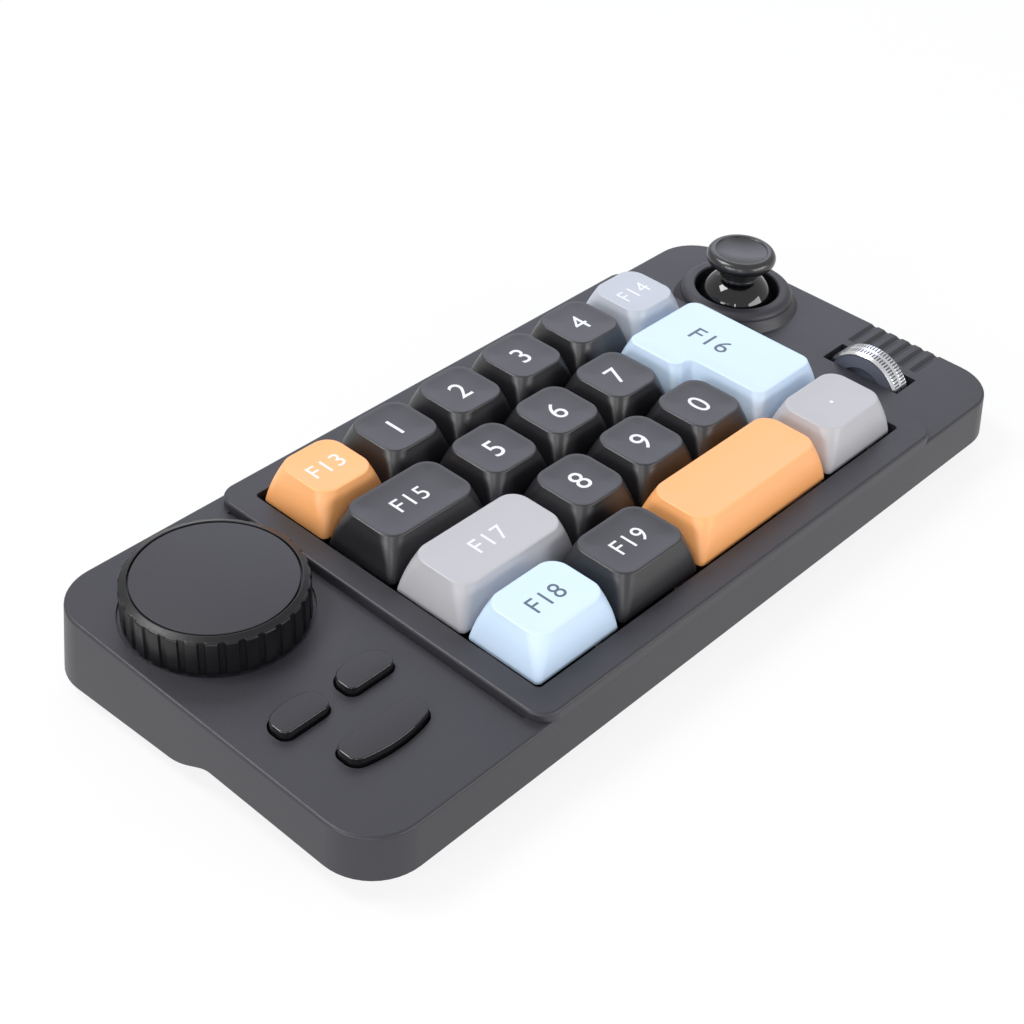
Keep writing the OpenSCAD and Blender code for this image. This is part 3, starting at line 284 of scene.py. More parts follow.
def finish(name, colour, roughness, metallic=0.0, coat=0.0, specular=0.5, **values):
    """A material whose colour, roughness and grain come from the shared moulded finish."""
    material = bpy.data.materials.new(name)
    material.use_nodes = True
    tree = material.node_tree
    shader = tree.nodes["Principled BSDF"]
    shader.inputs["Metallic"].default_value = metallic
    shader.inputs["Coat Weight"].default_value = coat
    shader.inputs["Specular IOR Level"].default_value = specular
    group = tree.nodes.new("ShaderNodeGroup")
    group.node_tree = MOULDED
    group.inputs["Colour"].default_value = (*colour, 1)
    group.inputs["Roughness"].default_value = roughness
    for socket, value in values.items():
        group.inputs[socket.replace("_", " ").title()].default_value = value
    link(tree, group, "Colour", shader, "Base Color")
    link(tree, group, "Roughness", shader, "Roughness")
    link(tree, group, "Normal", shader, "Normal")
    return material


SHELL = finish("shell_charcoal", (0.0255, 0.025, 0.032), 0.44, specular=0.56, tone=0.12,
               grain_scale=2600, grain_depth=0.3)
TRAY = finish("tray_charcoal", (0.020, 0.020, 0.023), 0.5, tone=0.1)
PALE_CAP = {"specular": 0.8, "tone": 0.03, "grain_depth": 0.1}
DARK_CAP = finish("cap_dark", (0.0105, 0.0100, 0.0125), 0.36, specular=0.8, tone=0.08, grain_depth=0.1)
ORANGE_CAP = finish("cap_orange", (1.0, 0.45, 0.16), 0.38, **PALE_CAP)
ICE_CAP = finish("cap_ice_blue", (0.62, 0.78, 0.97), 0.38, **PALE_CAP)
GREY_CAP = finish("cap_light_grey", (0.46, 0.455, 0.48), 0.38, **PALE_CAP)
BLUISH_CAP = finish("cap_bluish_grey", (0.48, 0.515, 0.58), 0.38, **PALE_CAP)
WHITE_LEGEND = finish("legend_white", (0.80, 0.81, 0.84), 0.4, tone=0.03)
SLATE_LEGEND = finish("legend_slate", (0.09, 0.13, 0.17), 0.4, tone=0.05)
STEM = finish("stem_brown", (0.16, 0.06, 0.025), 0.35)
HOUSING = finish("switch_black", (0.012, 0.012, 0.014), 0.3)
STEEL = finish("steel", (0.55, 0.56, 0.58), 0.3, metallic=1.0)
BOARD = finish("solder_mask", (0.01, 0.07, 0.035), 0.3)
DIAL_SKIRT = finish("dial_satin", (0.006, 0.006, 0.007), 0.34, specular=0.4, tone=0.1)
DIAL_INLAY = finish("dial_inlay", (0.025, 0.0245, 0.030), 0.46, tone=0.12, grain_scale=1800,
                    grain_depth=0.35)
BUTTON_FACE = finish("button_satin", (0.020, 0.0195, 0.024), 0.44, tone=0.08, grain_depth=0.1)
GLOSS = finish("button_gloss", (0.006, 0.006, 0.007), 0.10, coat=0.5, grain_depth=0.0)
STICK = finish("stick_satin", (0.008, 0.008, 0.009), 0.26, specular=0.8, tone=0.1)
DOME = finish("dome_gloss", (0.004, 0.004, 0.005), 0.05, coat=0.3, tone=0.0, gloss_spread=0.0,
              grain_depth=0.0)
RIM = finish("roller_metal", (0.80, 0.81, 0.83), 0.20, metallic=1.0, grain_depth=0.05)
# Darker metal for the knurl's slots and the teeth's flanks: painted shade in the recesses
PAINTED_KNURL_SHADE = finish("knurl_painted_shade", (0.30, 0.305, 0.32), 0.35, metallic=1.0, grain_depth=0.05)
WHEEL = finish("roller_slate", (0.16, 0.17, 0.22), 0.38)
RUBBER = finish("foot_rubber", (0.02, 0.02, 0.02), 0.8, grain_depth=0.5)

# ---- Making pieces ----

ON_AXIS = 1e-6
PIN_STEPS = 24


def loft(rings):
    """Joins rings of as many points each into one closed skin.

    Rings that run counter-clockwise and upwards face out.
    """
    count = len(rings[0])
    points = [point for ring in rings for point in ring]
    faces = []
    for level in range(len(rings) - 1):
        low, high = level * count, (level + 1) * count
        for i in range(count):
            j = (i + 1) % count
            faces.append((low + i, low + j, high + j, high + i))
    faces.append(tuple(reversed(range(count))))
    faces.append(tuple((len(rings) - 1) * count + i for i in range(count)))
    return points, faces


def spin(profile, steps, centre=(0, 0)):
    """Turns a closed [radius, height] profile about Z. Points on the axis become poles."""
    points, faces, rows = [], [], []
    for radius, height in profile:
        if radius < ON_AXIS:
            rows.append([len(points)] * steps)
            points.append((centre[0], centre[1], height))
            continue
        rows.append(list(range(len(points), len(points) + steps)))
        for step in range(steps):
            angle = 2 * math.pi * step / steps
            x = centre[0] + radius * math.cos(angle)
            y = centre[1] + radius * math.sin(angle)
            points.append((x, y, height))
    for low, high in zip(rows, rows[1:]):
        for i in range(steps):
            j = (i + 1) % steps
            face = []
            for vertex in (low[i], low[j], high[j], high[i]):
                if vertex not in face:
                    face.append(vertex)
            if len(face) > 2:
                faces.append(tuple(face))
    return points, faces


def joined(*parts):
    """Several (points, faces) pairs as one."""
    points, faces = [], []
    for part_points, part_faces in parts:
        base = len(points)
        points += part_points
        faces += [tuple(base + vertex for vertex in face) for face in part_faces]
    return points, faces


def make_mesh(name, shape, place=KEY_FRAME):
    points, faces = shape
    mesh = bpy.data.meshes.new(name)
    mesh.from_pydata(points, [], faces)
    mesh.validate()
    mesh.transform(place)
    smooth(mesh)
    return mesh


def smooth(mesh):
    mesh.polygons.foreach_set("use_smooth", [True] * len(mesh.polygons))
    mesh.set_sharp_from_angle(angle=SMOOTH_ANGLE)


def evaluated_mesh(carrier):
    """The mesh that a carrier shows with its modifiers. The carrier itself goes."""
    bpy.context.view_layer.update()
    graph = bpy.context.evaluated_depsgraph_get()
    mesh = bpy.data.meshes.new_from_object(carrier.evaluated_get(graph))
    carrier.modifiers.clear()
    bpy.data.objects.remove(carrier)
    return mesh


def add_piece(name, mesh, material, body, slot, *nodes):
    """Links a mesh as a piece of the scene that rides on a body and may stand for solids of the frame."""
    mesh.materials.clear()
    mesh.materials.append(material)
    piece = new_object(name, mesh)
    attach(piece, body)
    if nodes:
        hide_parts(*nodes)
    return piece


def paint(mesh, material, chosen):
    """Gives a second material to the faces whose centre, in millimetres of the key frame, is chosen."""
    mesh.materials.append(material)
    back = KEY_FRAME.inverted()
    for face in mesh.polygons:
        if chosen(back @ face.center):
            face.material_index = len(mesh.materials) - 1


def arc(centre, radii, start, end, steps):
    """Points [x, y] of an ellipse's arc, its angles in degrees."""
    points = []
    for step in range(steps + 1):
        angle = math.radians(start + (end - start) * step / steps)
        x = centre[0] + radii[0] * math.cos(angle)
        y = centre[1] + radii[1] * math.sin(angle)
        points.append((x, y))
    return points


# ---- Keycaps ----

CORNER_STEPS = 8
SIDE_STEPS = 8
EDGE_STEPS = 5
DISH_STEPS = 7

# Name, cells as (x, y, width, depth) in key units, material, slot, legend
KEYS = [
    ("back_1", [(0, 3, 1, 1)], ORANGE_CAP, "orange_caps", "F13"),
    ("back_2", [(1, 3, 1, 1)], DARK_CAP, "dark_caps", "1"),
    ("back_3", [(2, 3, 1, 1)], DARK_CAP, "dark_caps", "2"),
    ("back_4", [(3, 3, 1, 1)], DARK_CAP, "dark_caps", "3"),
    ("back_5", [(4, 3, 1, 1)], DARK_CAP, "dark_caps", "4"),
    ("back_6", [(5, 3, 1, 1)], BLUISH_CAP, "bluish_caps", "F14"),
    ("upper_1", [(0, 2, 1.5, 1)], DARK_CAP, "dark_caps", "F15"),
    ("upper_2", [(1.5, 2, 1, 1)], DARK_CAP, "dark_caps", "5"),
    ("upper_3", [(2.5, 2, 1, 1)], DARK_CAP, "dark_caps", "6"),
    ("upper_4", [(3.5, 2, 1, 1)], DARK_CAP, "dark_caps", "7"),
    ("lower_1", [(0, 1, 1.75, 1)], GREY_CAP, "grey_caps", "F17"),
    ("lower_2", [(1.75, 1, 1, 1)], DARK_CAP, "dark_caps", "8"),
    ("lower_3", [(2.75, 1, 1, 1)], DARK_CAP, "dark_caps", "9"),
    ("lower_4", [(3.75, 1, 1, 1)], DARK_CAP, "dark_caps", "0"),
    ("front_1", [(0, 0, 1.25, 1)], ICE_CAP, "ice_caps", "F18"),
    ("front_2", [(1.25, 0, 1.25, 1)], DARK_CAP, "dark_caps", "F19"),
    ("front_3", [(2.5, 0, 2.25, 1)], ORANGE_CAP, "orange_caps", ""),
    ("front_4", [(4.75, 0, 1.25, 1)], GREY_CAP, "grey_caps", "."),
    ("corner", [(4.5, 2, 1.5, 1), (4.75, 1, 1.25, 2)], ICE_CAP, "ice_caps", "F16"),
]
CORNER_SWITCH = (5.375, 2.0)


def cap_path(cells):
    """The outline of a key's cells in millimetres, counter-clockwise."""
    x, y, width, depth = cells[0]
    corners = [(x, y), (x + width, y), (x + width, y + depth), (x, y + depth)]
    if len(cells) == 2:
        low_x, low_y, low_width, low_depth = cells[1]
        corners = [
            (low_x, low_y), (low_x + low_width, low_y), (low_x + low_width, low_y + low_depth),
            (x, y + depth), (x, y), (low_x, y),
        ]
    return [Vector(corner) * KEY_PITCH for corner in corners]


def cap_ring(path, inset, radius, height):
    """The path inset by a distance, with rounded corners, at a height."""
    points = []
    for i, corner in enumerate(path):
        before = (corner - path[i - 1]).normalized().orthogonal()
        after = (path[(i + 1) % len(path)] - corner).normalized().orthogonal()
        turn = 1 if before.cross(after) > 0 else -1
        bend = radius
        if turn < 0:
            bend = CAP_INNER_RADIUS + (CAP_INNER_TOP_RADIUS - CAP_INNER_RADIUS) * height / CAP_HEIGHT
        middle = corner + (before + after) * (inset + turn * bend)
        for step in range(CORNER_STEPS + 1):
            angle = math.pi / 2 * step / CORNER_STEPS
            point = middle - (before * math.cos(angle) + after * math.sin(angle)) * turn * bend
            points.append((point.x, point.y, height))
    return points


def cap_inset(share):
    straight = CAP_FOOT_INSET + (CAP_TOP_INSET - CAP_FOOT_INSET) * share
    return straight - 4 * CAP_BULGE * share * (1 - share)


def cap_rings(path):
    """Rings from the hollow's roof down its walls, round the foot and up to the middle of the dish."""
    rings = []
    roof = CAP_HEIGHT - CAP_ROOF
    top_radius = CAP_NOTCHED_RADIUS if len(path) > 4 else CAP_TOP_RADIUS
    grow = top_radius - CAP_FOOT_RADIUS
    for step in range(SIDE_STEPS + 1):
        height = roof * (1 - step / SIDE_STEPS)
        share = height / CAP_HEIGHT
        radius = max(CAP_FOOT_RADIUS + grow * share - CAP_WALL, CAP_LEAST_RADIUS)
        rings.append(cap_ring(path, cap_inset(share) + CAP_WALL, radius, height))
    edge_start = 1 - CAP_EDGE / CAP_HEIGHT
    for step in range(SIDE_STEPS + 1):
        share = edge_start * step / SIDE_STEPS
        radius = CAP_FOOT_RADIUS + grow * share
        rings.append(cap_ring(path, cap_inset(share), radius, share * CAP_HEIGHT))
    side_inset = cap_inset(edge_start)
    for step in range(1, EDGE_STEPS + 1):
        angle = math.pi / 2 * step / EDGE_STEPS
        inset = side_inset + (CAP_TOP_INSET + CAP_EDGE - side_inset) * (1 - math.cos(angle))
        height = CAP_HEIGHT - CAP_EDGE * (1 - math.sin(angle))
        rings.append(cap_ring(path, inset, top_radius - CAP_EDGE * step / EDGE_STEPS, height))
    for step in range(1, DISH_STEPS + 1):
        run = CAP_DISH_RUN * step / DISH_STEPS
        height = CAP_HEIGHT - CAP_DISH * (1 - (1 - run / CAP_DISH_RUN) ** 2)
        inset = CAP_TOP_INSET + CAP_EDGE + run
        radius = max(top_radius - CAP_EDGE - run, CAP_FOOT_RADIUS / 2)
        rings.append(cap_ring(path, inset, radius, height))
    return rings


def switch_centre(cells):
    x, y, width, depth = cells[0]
    middle = CORNER_SWITCH if len(cells) == 2 else (x + width / 2, y + depth / 2)
    return Vector(middle) * KEY_PITCH


def make_keycap(name, cells, material, slot):
    centre = switch_centre(cells)
    top = CAP_HEIGHT - CAP_ROOF + POST_INTO_ROOF
    post = spin([(0, HOUSING_TOP), (POST_RADIUS, HOUSING_TOP), (POST_RADIUS, top), (0, top)],
                PIN_STEPS, centre)
    shape = joined(loft(cap_rings(cap_path(cells))), post)
    mesh = make_mesh("cap_" + name, shape)
    return add_piece("cap_" + name, mesh, material, "key_" + name, slot, "keycap_" + name)


LEGEND_SIZE = 7.6
WORD_SIZE = 5.8
CORNER_WORD_SIZE = 6.8
LEGEND_RISE = 0.02
LEGEND_DEPTH = 0.15
LETTER_HALF = 0.5
LETTER_STEPS = 6
LETTER_SPACING = 1.08
LOOK_DOWN_FROM = CAP_HEIGHT + 5
CORNER_WORD_SHIFT = (0.1, -0.3)


def letter_mesh(name, words, size):
    """Generic lettering as a flat mesh round its own middle, in millimetres."""
    curve = bpy.data.curves.new(name, "FONT")
    curve.body = words
    curve.size = size
    curve.align_x = "CENTER"
    curve.align_y = "CENTER"
    curve.extrude = LETTER_HALF
    curve.resolution_u = LETTER_STEPS
    curve.space_character = LETTER_SPACING
    mesh = evaluated_mesh(new_object(name, curve))
    low = [min(vertex.co[axis] for vertex in mesh.vertices) for axis in range(2)]
    high = [max(vertex.co[axis] for vertex in mesh.vertices) for axis in range(2)]
    mesh.transform(Matrix.Translation((-(low[0] + high[0]) / 2, -(low[1] + high[1]) / 2, 0)))
    return mesh


def make_legend(name, cells, cap, words, material, slot):
    """Moulds a legend into a keycap's top: its face follows the dish, a hair above it."""
    size = LEGEND_SIZE if len(words) == 1 else CORNER_WORD_SIZE if len(cells) == 2 else WORD_SIZE
    mesh = letter_mesh("legend_" + name, words, size)
    centre = switch_centre(cells)
    if len(cells) == 2:
        mesh.transform(Matrix.Rotation(-math.pi / 2, 4, "Z"))
        x, y, width, depth = cells[0]
        shift_x, shift_y = CORNER_WORD_SHIFT
        centre = Vector((x + width / 2 + shift_x, y + depth / 2 + shift_y)) * KEY_PITCH
    top = BVHTree.FromPolygons([v.co for v in cap.data.vertices], [p.vertices for p in cap.data.polygons])
    for vertex in mesh.vertices:
        above = KEY_FRAME @ Vector((centre.x + vertex.co.x, centre.y + vertex.co.y, LOOK_DOWN_FROM))
        hit = top.ray_cast(above, -UP)[0]
        vertex.co = hit + UP * (LEGEND_RISE if vertex.co.z > 0 else -LEGEND_DEPTH) * MM
    smooth(mesh)
    add_piece("legend_" + name, mesh, material, "key_" + name, slot)


for key_name, cells, material, slot, words in KEYS:
    cap = make_keycap(key_name, cells, material, slot)
    if words:
        ink = SLATE_LEGEND if material is ICE_CAP else WHITE_LEGEND
        make_legend(key_name, cells, cap, words, ink, slot)

# ---- Repeats round an axis ----


def polar_group():
    """Geometry nodes: copies of the input round Z, made real, with one material."""
    tree = bpy.data.node_groups.new("copies_round_axis", "GeometryNodeTree")
    tree.interface.new_socket("Geometry", in_out="INPUT", socket_type="NodeSocketGeometry")
    tree.interface.new_socket("Count", in_out="INPUT", socket_type="NodeSocketInt").default_value = 12
    tree.interface.new_socket("Material", in_out="INPUT", socket_type="NodeSocketMaterial")
    tree.interface.new_socket("Geometry", in_out="OUTPUT", socket_type="NodeSocketGeometry")
    inside = tree.nodes.new("NodeGroupInput")
    outside = tree.nodes.new("NodeGroupOutput")
    points = tree.nodes.new("GeometryNodeMeshLine")
    points.inputs["Offset"].default_value = (0, 0, 0)
    link(tree, inside, "Count", points, "Count")
    index = tree.nodes.new("GeometryNodeInputIndex")
    share = math_step(tree, "DIVIDE", (index, "Index"), (inside, "Count"))
    angle = math_step(tree, "MULTIPLY", (share, "Value"), 2 * math.pi)
    turn = tree.nodes.new("ShaderNodeCombineXYZ")
    link(tree, angle, "Value", turn, "Z")
    copies = tree.nodes.new("GeometryNodeInstanceOnPoints")
    link(tree, points, "Mesh", copies, "Points")
    link(tree, inside, "Geometry", copies, "Instance")
    link(tree, turn, "Vector", copies, "Rotation")
    real = tree.nodes.new("GeometryNodeRealizeInstances")
    link(tree, copies, "Instances", real, "Geometry")
    finished = tree.nodes.new("GeometryNodeSetMaterial")
    link(tree, real, "Geometry", finished, "Geometry")
    link(tree, inside, "Material", finished, "Material")
    link(tree, finished, "Geometry", outside, "Geometry")
    return tree


POLAR = polar_group()


def copies_round_axis(shape, count, material):
    """The (points, faces) of a shape repeated round Z by the geometry nodes."""
    points, faces = shape
    mesh = bpy.data.meshes.new("one_copy")
    mesh.from_pydata(points, [], faces)
    carrier = new_object("one_copy", mesh)
    modifier = carrier.modifiers.new("copies", "NODES")
    modifier.node_group = POLAR
    sockets = {item.name: item.identifier for item in POLAR.interface.items_tree if item.in_out == "INPUT"}
    modifier[sockets["Count"]] = count
    modifier[sockets["Material"]] = material
    result = evaluated_mesh(carrier)
    return [tuple(v.co) for v in result.vertices], [tuple(p.vertices) for p in result.polygons]


# ---- Dial ----

DIAL_STEPS = 180
DIAL_EDGE_STEPS = 4
LAND_STEPS = 6
# Heights over the dial's foot and over its shoulder, each with how far a land stands back there
LAND_FOOT_LEVELS = [(0.0, 0.1), (0.1, 0.0)]
LAND_SHOULDER_LEVELS = [(-0.35, 0.0), (-0.15, 0.03), (0.0, 0.12), (0.1, 0.3), (0.19, 0.52)]


def dial_core():
    """The dial without its grip lands, as a closed profile from the hub up and over."""
    core = DIAL_RADIUS - GRIP_DEPTH
    shoulder = DIAL_TOP - DIAL_SHOULDER_DROP
    hole = INLAY_RADIUS + INLAY_GAP
    return spin(
        [(0, DIAL_HUB_FOOT), (DIAL_HUB, DIAL_HUB_FOOT), (DIAL_HUB, DIAL_HOLLOW),
         (DIAL_RADIUS - DIAL_WALL, DIAL_HOLLOW), (DIAL_RADIUS - DIAL_WALL, DIAL_FOOT), (core, DIAL_FOOT),
         (core, shoulder + DIAL_CORE_RISE)]
        + arc((DIAL_RADIUS - DIAL_SHOULDER - DIAL_CREST_INSET, DIAL_TOP - DIAL_CREST[1]), DIAL_CREST,
              DIAL_CREST_START, 90, DIAL_EDGE_STEPS)
        + arc((hole + INLAY_SEAT_EDGE, DIAL_TOP - INLAY_SEAT_EDGE), (INLAY_SEAT_EDGE, INLAY_SEAT_EDGE),
              90, 180, DIAL_EDGE_STEPS - 1)
        + [(hole, DIAL_TOP - INLAY_THICKNESS), (0, DIAL_TOP - INLAY_THICKNESS)],
        DIAL_STEPS)


def grip_land():
    """One land between two grip grooves, as a curved bar with round edges."""
    half = math.pi / GRIP_COUNT - GRIP_GAP / 2 / DIAL_RADIUS
    root = DIAL_RADIUS - GRIP_DEPTH - LAND_ROOT
    shoulder = DIAL_TOP - DIAL_SHOULDER_DROP
    edge = LAND_EDGE / DIAL_RADIUS
    outline = [(-half, root), (-half, DIAL_RADIUS - GRIP_DEPTH)]
    for step in range(LAND_STEPS + 1):
        outline.append((-half + edge + 2 * (half - edge) * step / LAND_STEPS, DIAL_RADIUS))
    outline += [(half, DIAL_RADIUS - GRIP_DEPTH), (half, root)]
    levels = [(DIAL_FOOT + rise, back) for rise, back in LAND_FOOT_LEVELS]
    levels += [(shoulder + rise, back) for rise, back in LAND_SHOULDER_LEVELS]
    rings = []
    for height, back in levels:
        ring = []
        for angle, radius in outline:
            reach = min(radius, DIAL_RADIUS - back)
            ring.append((reach * math.cos(angle), reach * math.sin(angle), height))
        rings.append(ring)
    return loft(rings)


def make_dial():
    place = KEY_FRAME @ Matrix.Translation((DIAL_CENTRE.x, DIAL_CENTRE.y, 0))
    lands = copies_round_axis(grip_land(), GRIP_COUNT, DIAL_SKIRT)
    mesh = make_mesh("dial_skirt", joined(dial_core(), lands), place)
    add_piece("dial_skirt", mesh, DIAL_SKIRT, "dial", "dial", "knob_cap")
    inlay = spin(
        [(0, DIAL_TOP - INLAY_THICKNESS), (INLAY_RADIUS, DIAL_TOP - INLAY_THICKNESS)]
        + arc((INLAY_RADIUS - INLAY_EDGE, DIAL_TOP - INLAY_EDGE), (INLAY_EDGE, INLAY_EDGE),
              0, 90, DIAL_EDGE_STEPS)
        + [(0, DIAL_TOP)],
        DIAL_STEPS)
    mesh = make_mesh("dial_inlay", inlay, place)
    add_piece("dial_inlay", mesh, DIAL_INLAY, "dial", "dial", "knob_disc")


make_dial()

# ---- Push buttons ----

# Name, centre, width, depth, bow of the rear edge, bow of the front edge
BUTTONS = [
    ("left", (-35.1, 25.75), 11.4, 6.3, 1.3, 0),
    ("right", (-19.25, 25.75), 11.4, 6.3, 1.3, 0),
    ("long", (-26.95, 11.5), 19.0, 6.8, 0, 1.6),
]
BUTTON_CORNER_STEPS = 10
BUTTON_EDGE_STEPS = 14
BUTTON_BEVEL_STEPS = 6


def button_ring(centre, width, depth, bow_back, bow_front, grow, height):
    """A rounded rectangle whose long edges are bent by a parabola, at a height."""
    half_w, half_d = width / 2 + grow, depth / 2 + grow
    radius = BUTTON_RADIUS + grow
    flat_w, flat_d = half_w - radius, half_d - radius
    outline = []
    for sign_x, sign_y, start in ((1, 1, 0), (-1, 1, 90), (-1, -1, 180), (1, -1, 270)):
        corner = (sign_x * flat_w, sign_y * flat_d)
        outline += arc(corner, (radius, radius), start, start + 90, BUTTON_CORNER_STEPS)
        if sign_x == sign_y:
            for step in range(1, BUTTON_EDGE_STEPS):
                outline.append((sign_x * flat_w * (1 - 2 * step / BUTTON_EDGE_STEPS), sign_y * half_d))
    ring = []
    for x, y in outline:
        bow = bow_back if y > 0 else -bow_front
        ring.append((centre[0] + x, centre[1] + y - bow * (x / half_w) ** 2, height))
    return ring


def make_button(name, centre, width, depth, bow_back, bow_front):
    shape = (centre, width, depth, bow_back, bow_front)
    foot = BUTTON_FLANGE_TOP - BUTTON_LAP
    rings = [button_ring(*shape, 0, foot)]
    bevel = arc((BUTTON_BEVEL, BUTTON_TOP - BUTTON_BEVEL), (-BUTTON_BEVEL, BUTTON_BEVEL), 0, 90,
                BUTTON_BEVEL_STEPS)
    for inset, height in bevel:
        rings.append(button_ring(*shape, -inset, height))
    flange = loft([
        button_ring(*shape, BUTTON_FLANGE, BUTTON_FLANGE_TOP - BUTTON_FLANGE_THICKNESS),
        button_ring(*shape, BUTTON_FLANGE, BUTTON_FLANGE_TOP)])
    plunger = spin([(0, PLUNGER_END), (PLUNGER_RADIUS, PLUNGER_END), (PLUNGER_RADIUS, foot), (0, foot)],
                   PIN_STEPS, centre)
    mesh = make_mesh("push_" + name, joined(loft(rings), flange, plunger))
    add_piece("push_" + name, mesh, GLOSS, "push_" + name, "gloss", "button_" + name)
    paint(mesh, BUTTON_FACE, lambda middle: middle.z > BUTTON_TOP - BUTTON_FACE_MARGIN)


for button in BUTTONS:
    make_button(*button)

# ---- Thumbstick ----

STICK_STEPS = 96
DOME_INSIDE_STEPS = 16
DOME_STEPS = 24
NECK_FOOT_STEPS = 4
NECK_TOP_STEPS = 5
GRIP_STEPS = 12
GRIP_LIP_STEPS = 6
GIMBAL_PIN_STEPS = 16
DISH_SHARES = (0.95, 0.9, 0.8, 0.7, 0.6, 0.5, 0.4, 0.3, 0.2, 0.1, 0)
DOME_SKIN = 0.3


def stick_profile(inner, flange_angle, flange_height):
    """From the post inside the dome over the dome, the neck and the grip to the middle of its dish."""
    post_angle = math.degrees(math.asin(STICK_POST * STICK_POST_FLARE / inner))
    dish_radius = GRIP_RIM_RADIUS - GRIP_LIP
    dish_rise = GRIP_DISH - GRIP_LIP / 2
    return (
        [(0, -STICK_POST_LENGTH), (STICK_POST, -STICK_POST_LENGTH), (STICK_POST, STICK_POST_FLARE_START),
         (STICK_POST * STICK_POST_FLARE, STICK_POST_FLARE_END)]
        + arc((0, 0), (inner, inner), 90 - post_angle, 90 - DOME_HALF, DOME_INSIDE_STEPS)
        + arc((0, 0), (DOME_RADIUS, DOME_RADIUS), 90 - DOME_HALF, 90 - flange_angle, DOME_STEPS)
        + [(NECK_FLANGE, flange_height + NECK_FLANGE_RISE)]
        + arc((NECK_RADIUS + NECK_FOOT_FILLET, flange_height + NECK_FOOT_RISE),
              (-NECK_FOOT_FILLET, -NECK_FOOT_FILLET), 90, 0, NECK_FOOT_STEPS)
        + arc((NECK_RADIUS + NECK_TOP_FILLET, GRIP_UNDER - NECK_TOP_FILLET),
              (-NECK_TOP_FILLET, NECK_TOP_FILLET), 0, 90, NECK_TOP_STEPS)
        + arc((GRIP_UNDER_RADIUS, GRIP_MIDDLE),
              (GRIP_RADIUS - GRIP_UNDER_RADIUS, GRIP_MIDDLE - GRIP_UNDER), -90, 0, GRIP_STEPS)
        + arc((GRIP_RIM_RADIUS, GRIP_MIDDLE),
              (GRIP_RADIUS - GRIP_RIM_RADIUS, GRIP_TOP - GRIP_MIDDLE), GRIP_RIM_START, 90, GRIP_STEPS)
        + arc((GRIP_RIM_RADIUS, GRIP_TOP - GRIP_LIP / 2), (GRIP_LIP, GRIP_LIP / 2),
              GRIP_LIP_START, 180, GRIP_LIP_STEPS)
        + [(dish_radius * share, GRIP_TOP - GRIP_DISH + dish_rise * share ** 2) for share in DISH_SHARES]
    )


def gimbal_pin():
    """The pin through the post, along Y."""
    points, faces = spin(
        [(0, -GIMBAL_PIN_HALF), (GIMBAL_PIN, -GIMBAL_PIN_HALF), (GIMBAL_PIN, GIMBAL_PIN_HALF),
         (0, GIMBAL_PIN_HALF)],
        GIMBAL_PIN_STEPS)
    return [(x, -z, y) for x, y, z in points], faces


def make_thumbstick():
    inner = DOME_RADIUS - DOME_THICKNESS
    flange_angle = math.degrees(math.asin(NECK_FLANGE / DOME_RADIUS))
    flange_height = DOME_RADIUS * math.cos(math.radians(flange_angle))
    shape = joined(spin(stick_profile(inner, flange_angle, flange_height), STICK_STEPS), gimbal_pin())
    mesh = make_mesh("stick_grip", shape, KEY_FRAME @ Matrix.Translation(STICK_CENTRE))
    add_piece("stick_grip", mesh, STICK, "stick", "stick", "thumbstick")

    def on_dome(middle):
        outside = (middle - STICK_CENTRE).length > inner + DOME_SKIN
        return outside and middle.z < STICK_CENTRE.z + flange_height

    paint(mesh, DOME, on_dome)


make_thumbstick()

# ---- Roller ----

RIM_STEPS = 144


def rim_tooth(left, right):
    """One tooth of a knurled band, pointing along X."""
    pitch = 2 * math.pi * ROLLER_RADIUS / KNURL_COUNT
    foot_half, top_half = TOOTH_FOOT_SHARE * pitch, TOOTH_TOP_SHARE * pitch
    foot = ROLLER_RADIUS - KNURL_DEPTH - TOOTH_ROOT
    levels = [
        (left, ROLLER_RADIUS - TOOTH_DROP), (left + TOOTH_RUN, ROLLER_RADIUS),
        (right - TOOTH_RUN, ROLLER_RADIUS), (right, ROLLER_RADIUS - TOOTH_DROP),
    ]
    rings = []
    for height, top in levels:
        rings.append([(foot, -foot_half, height), (top, -top_half, height),
                      (top, top_half, height), (foot, foot_half, height)])
    return loft(rings)


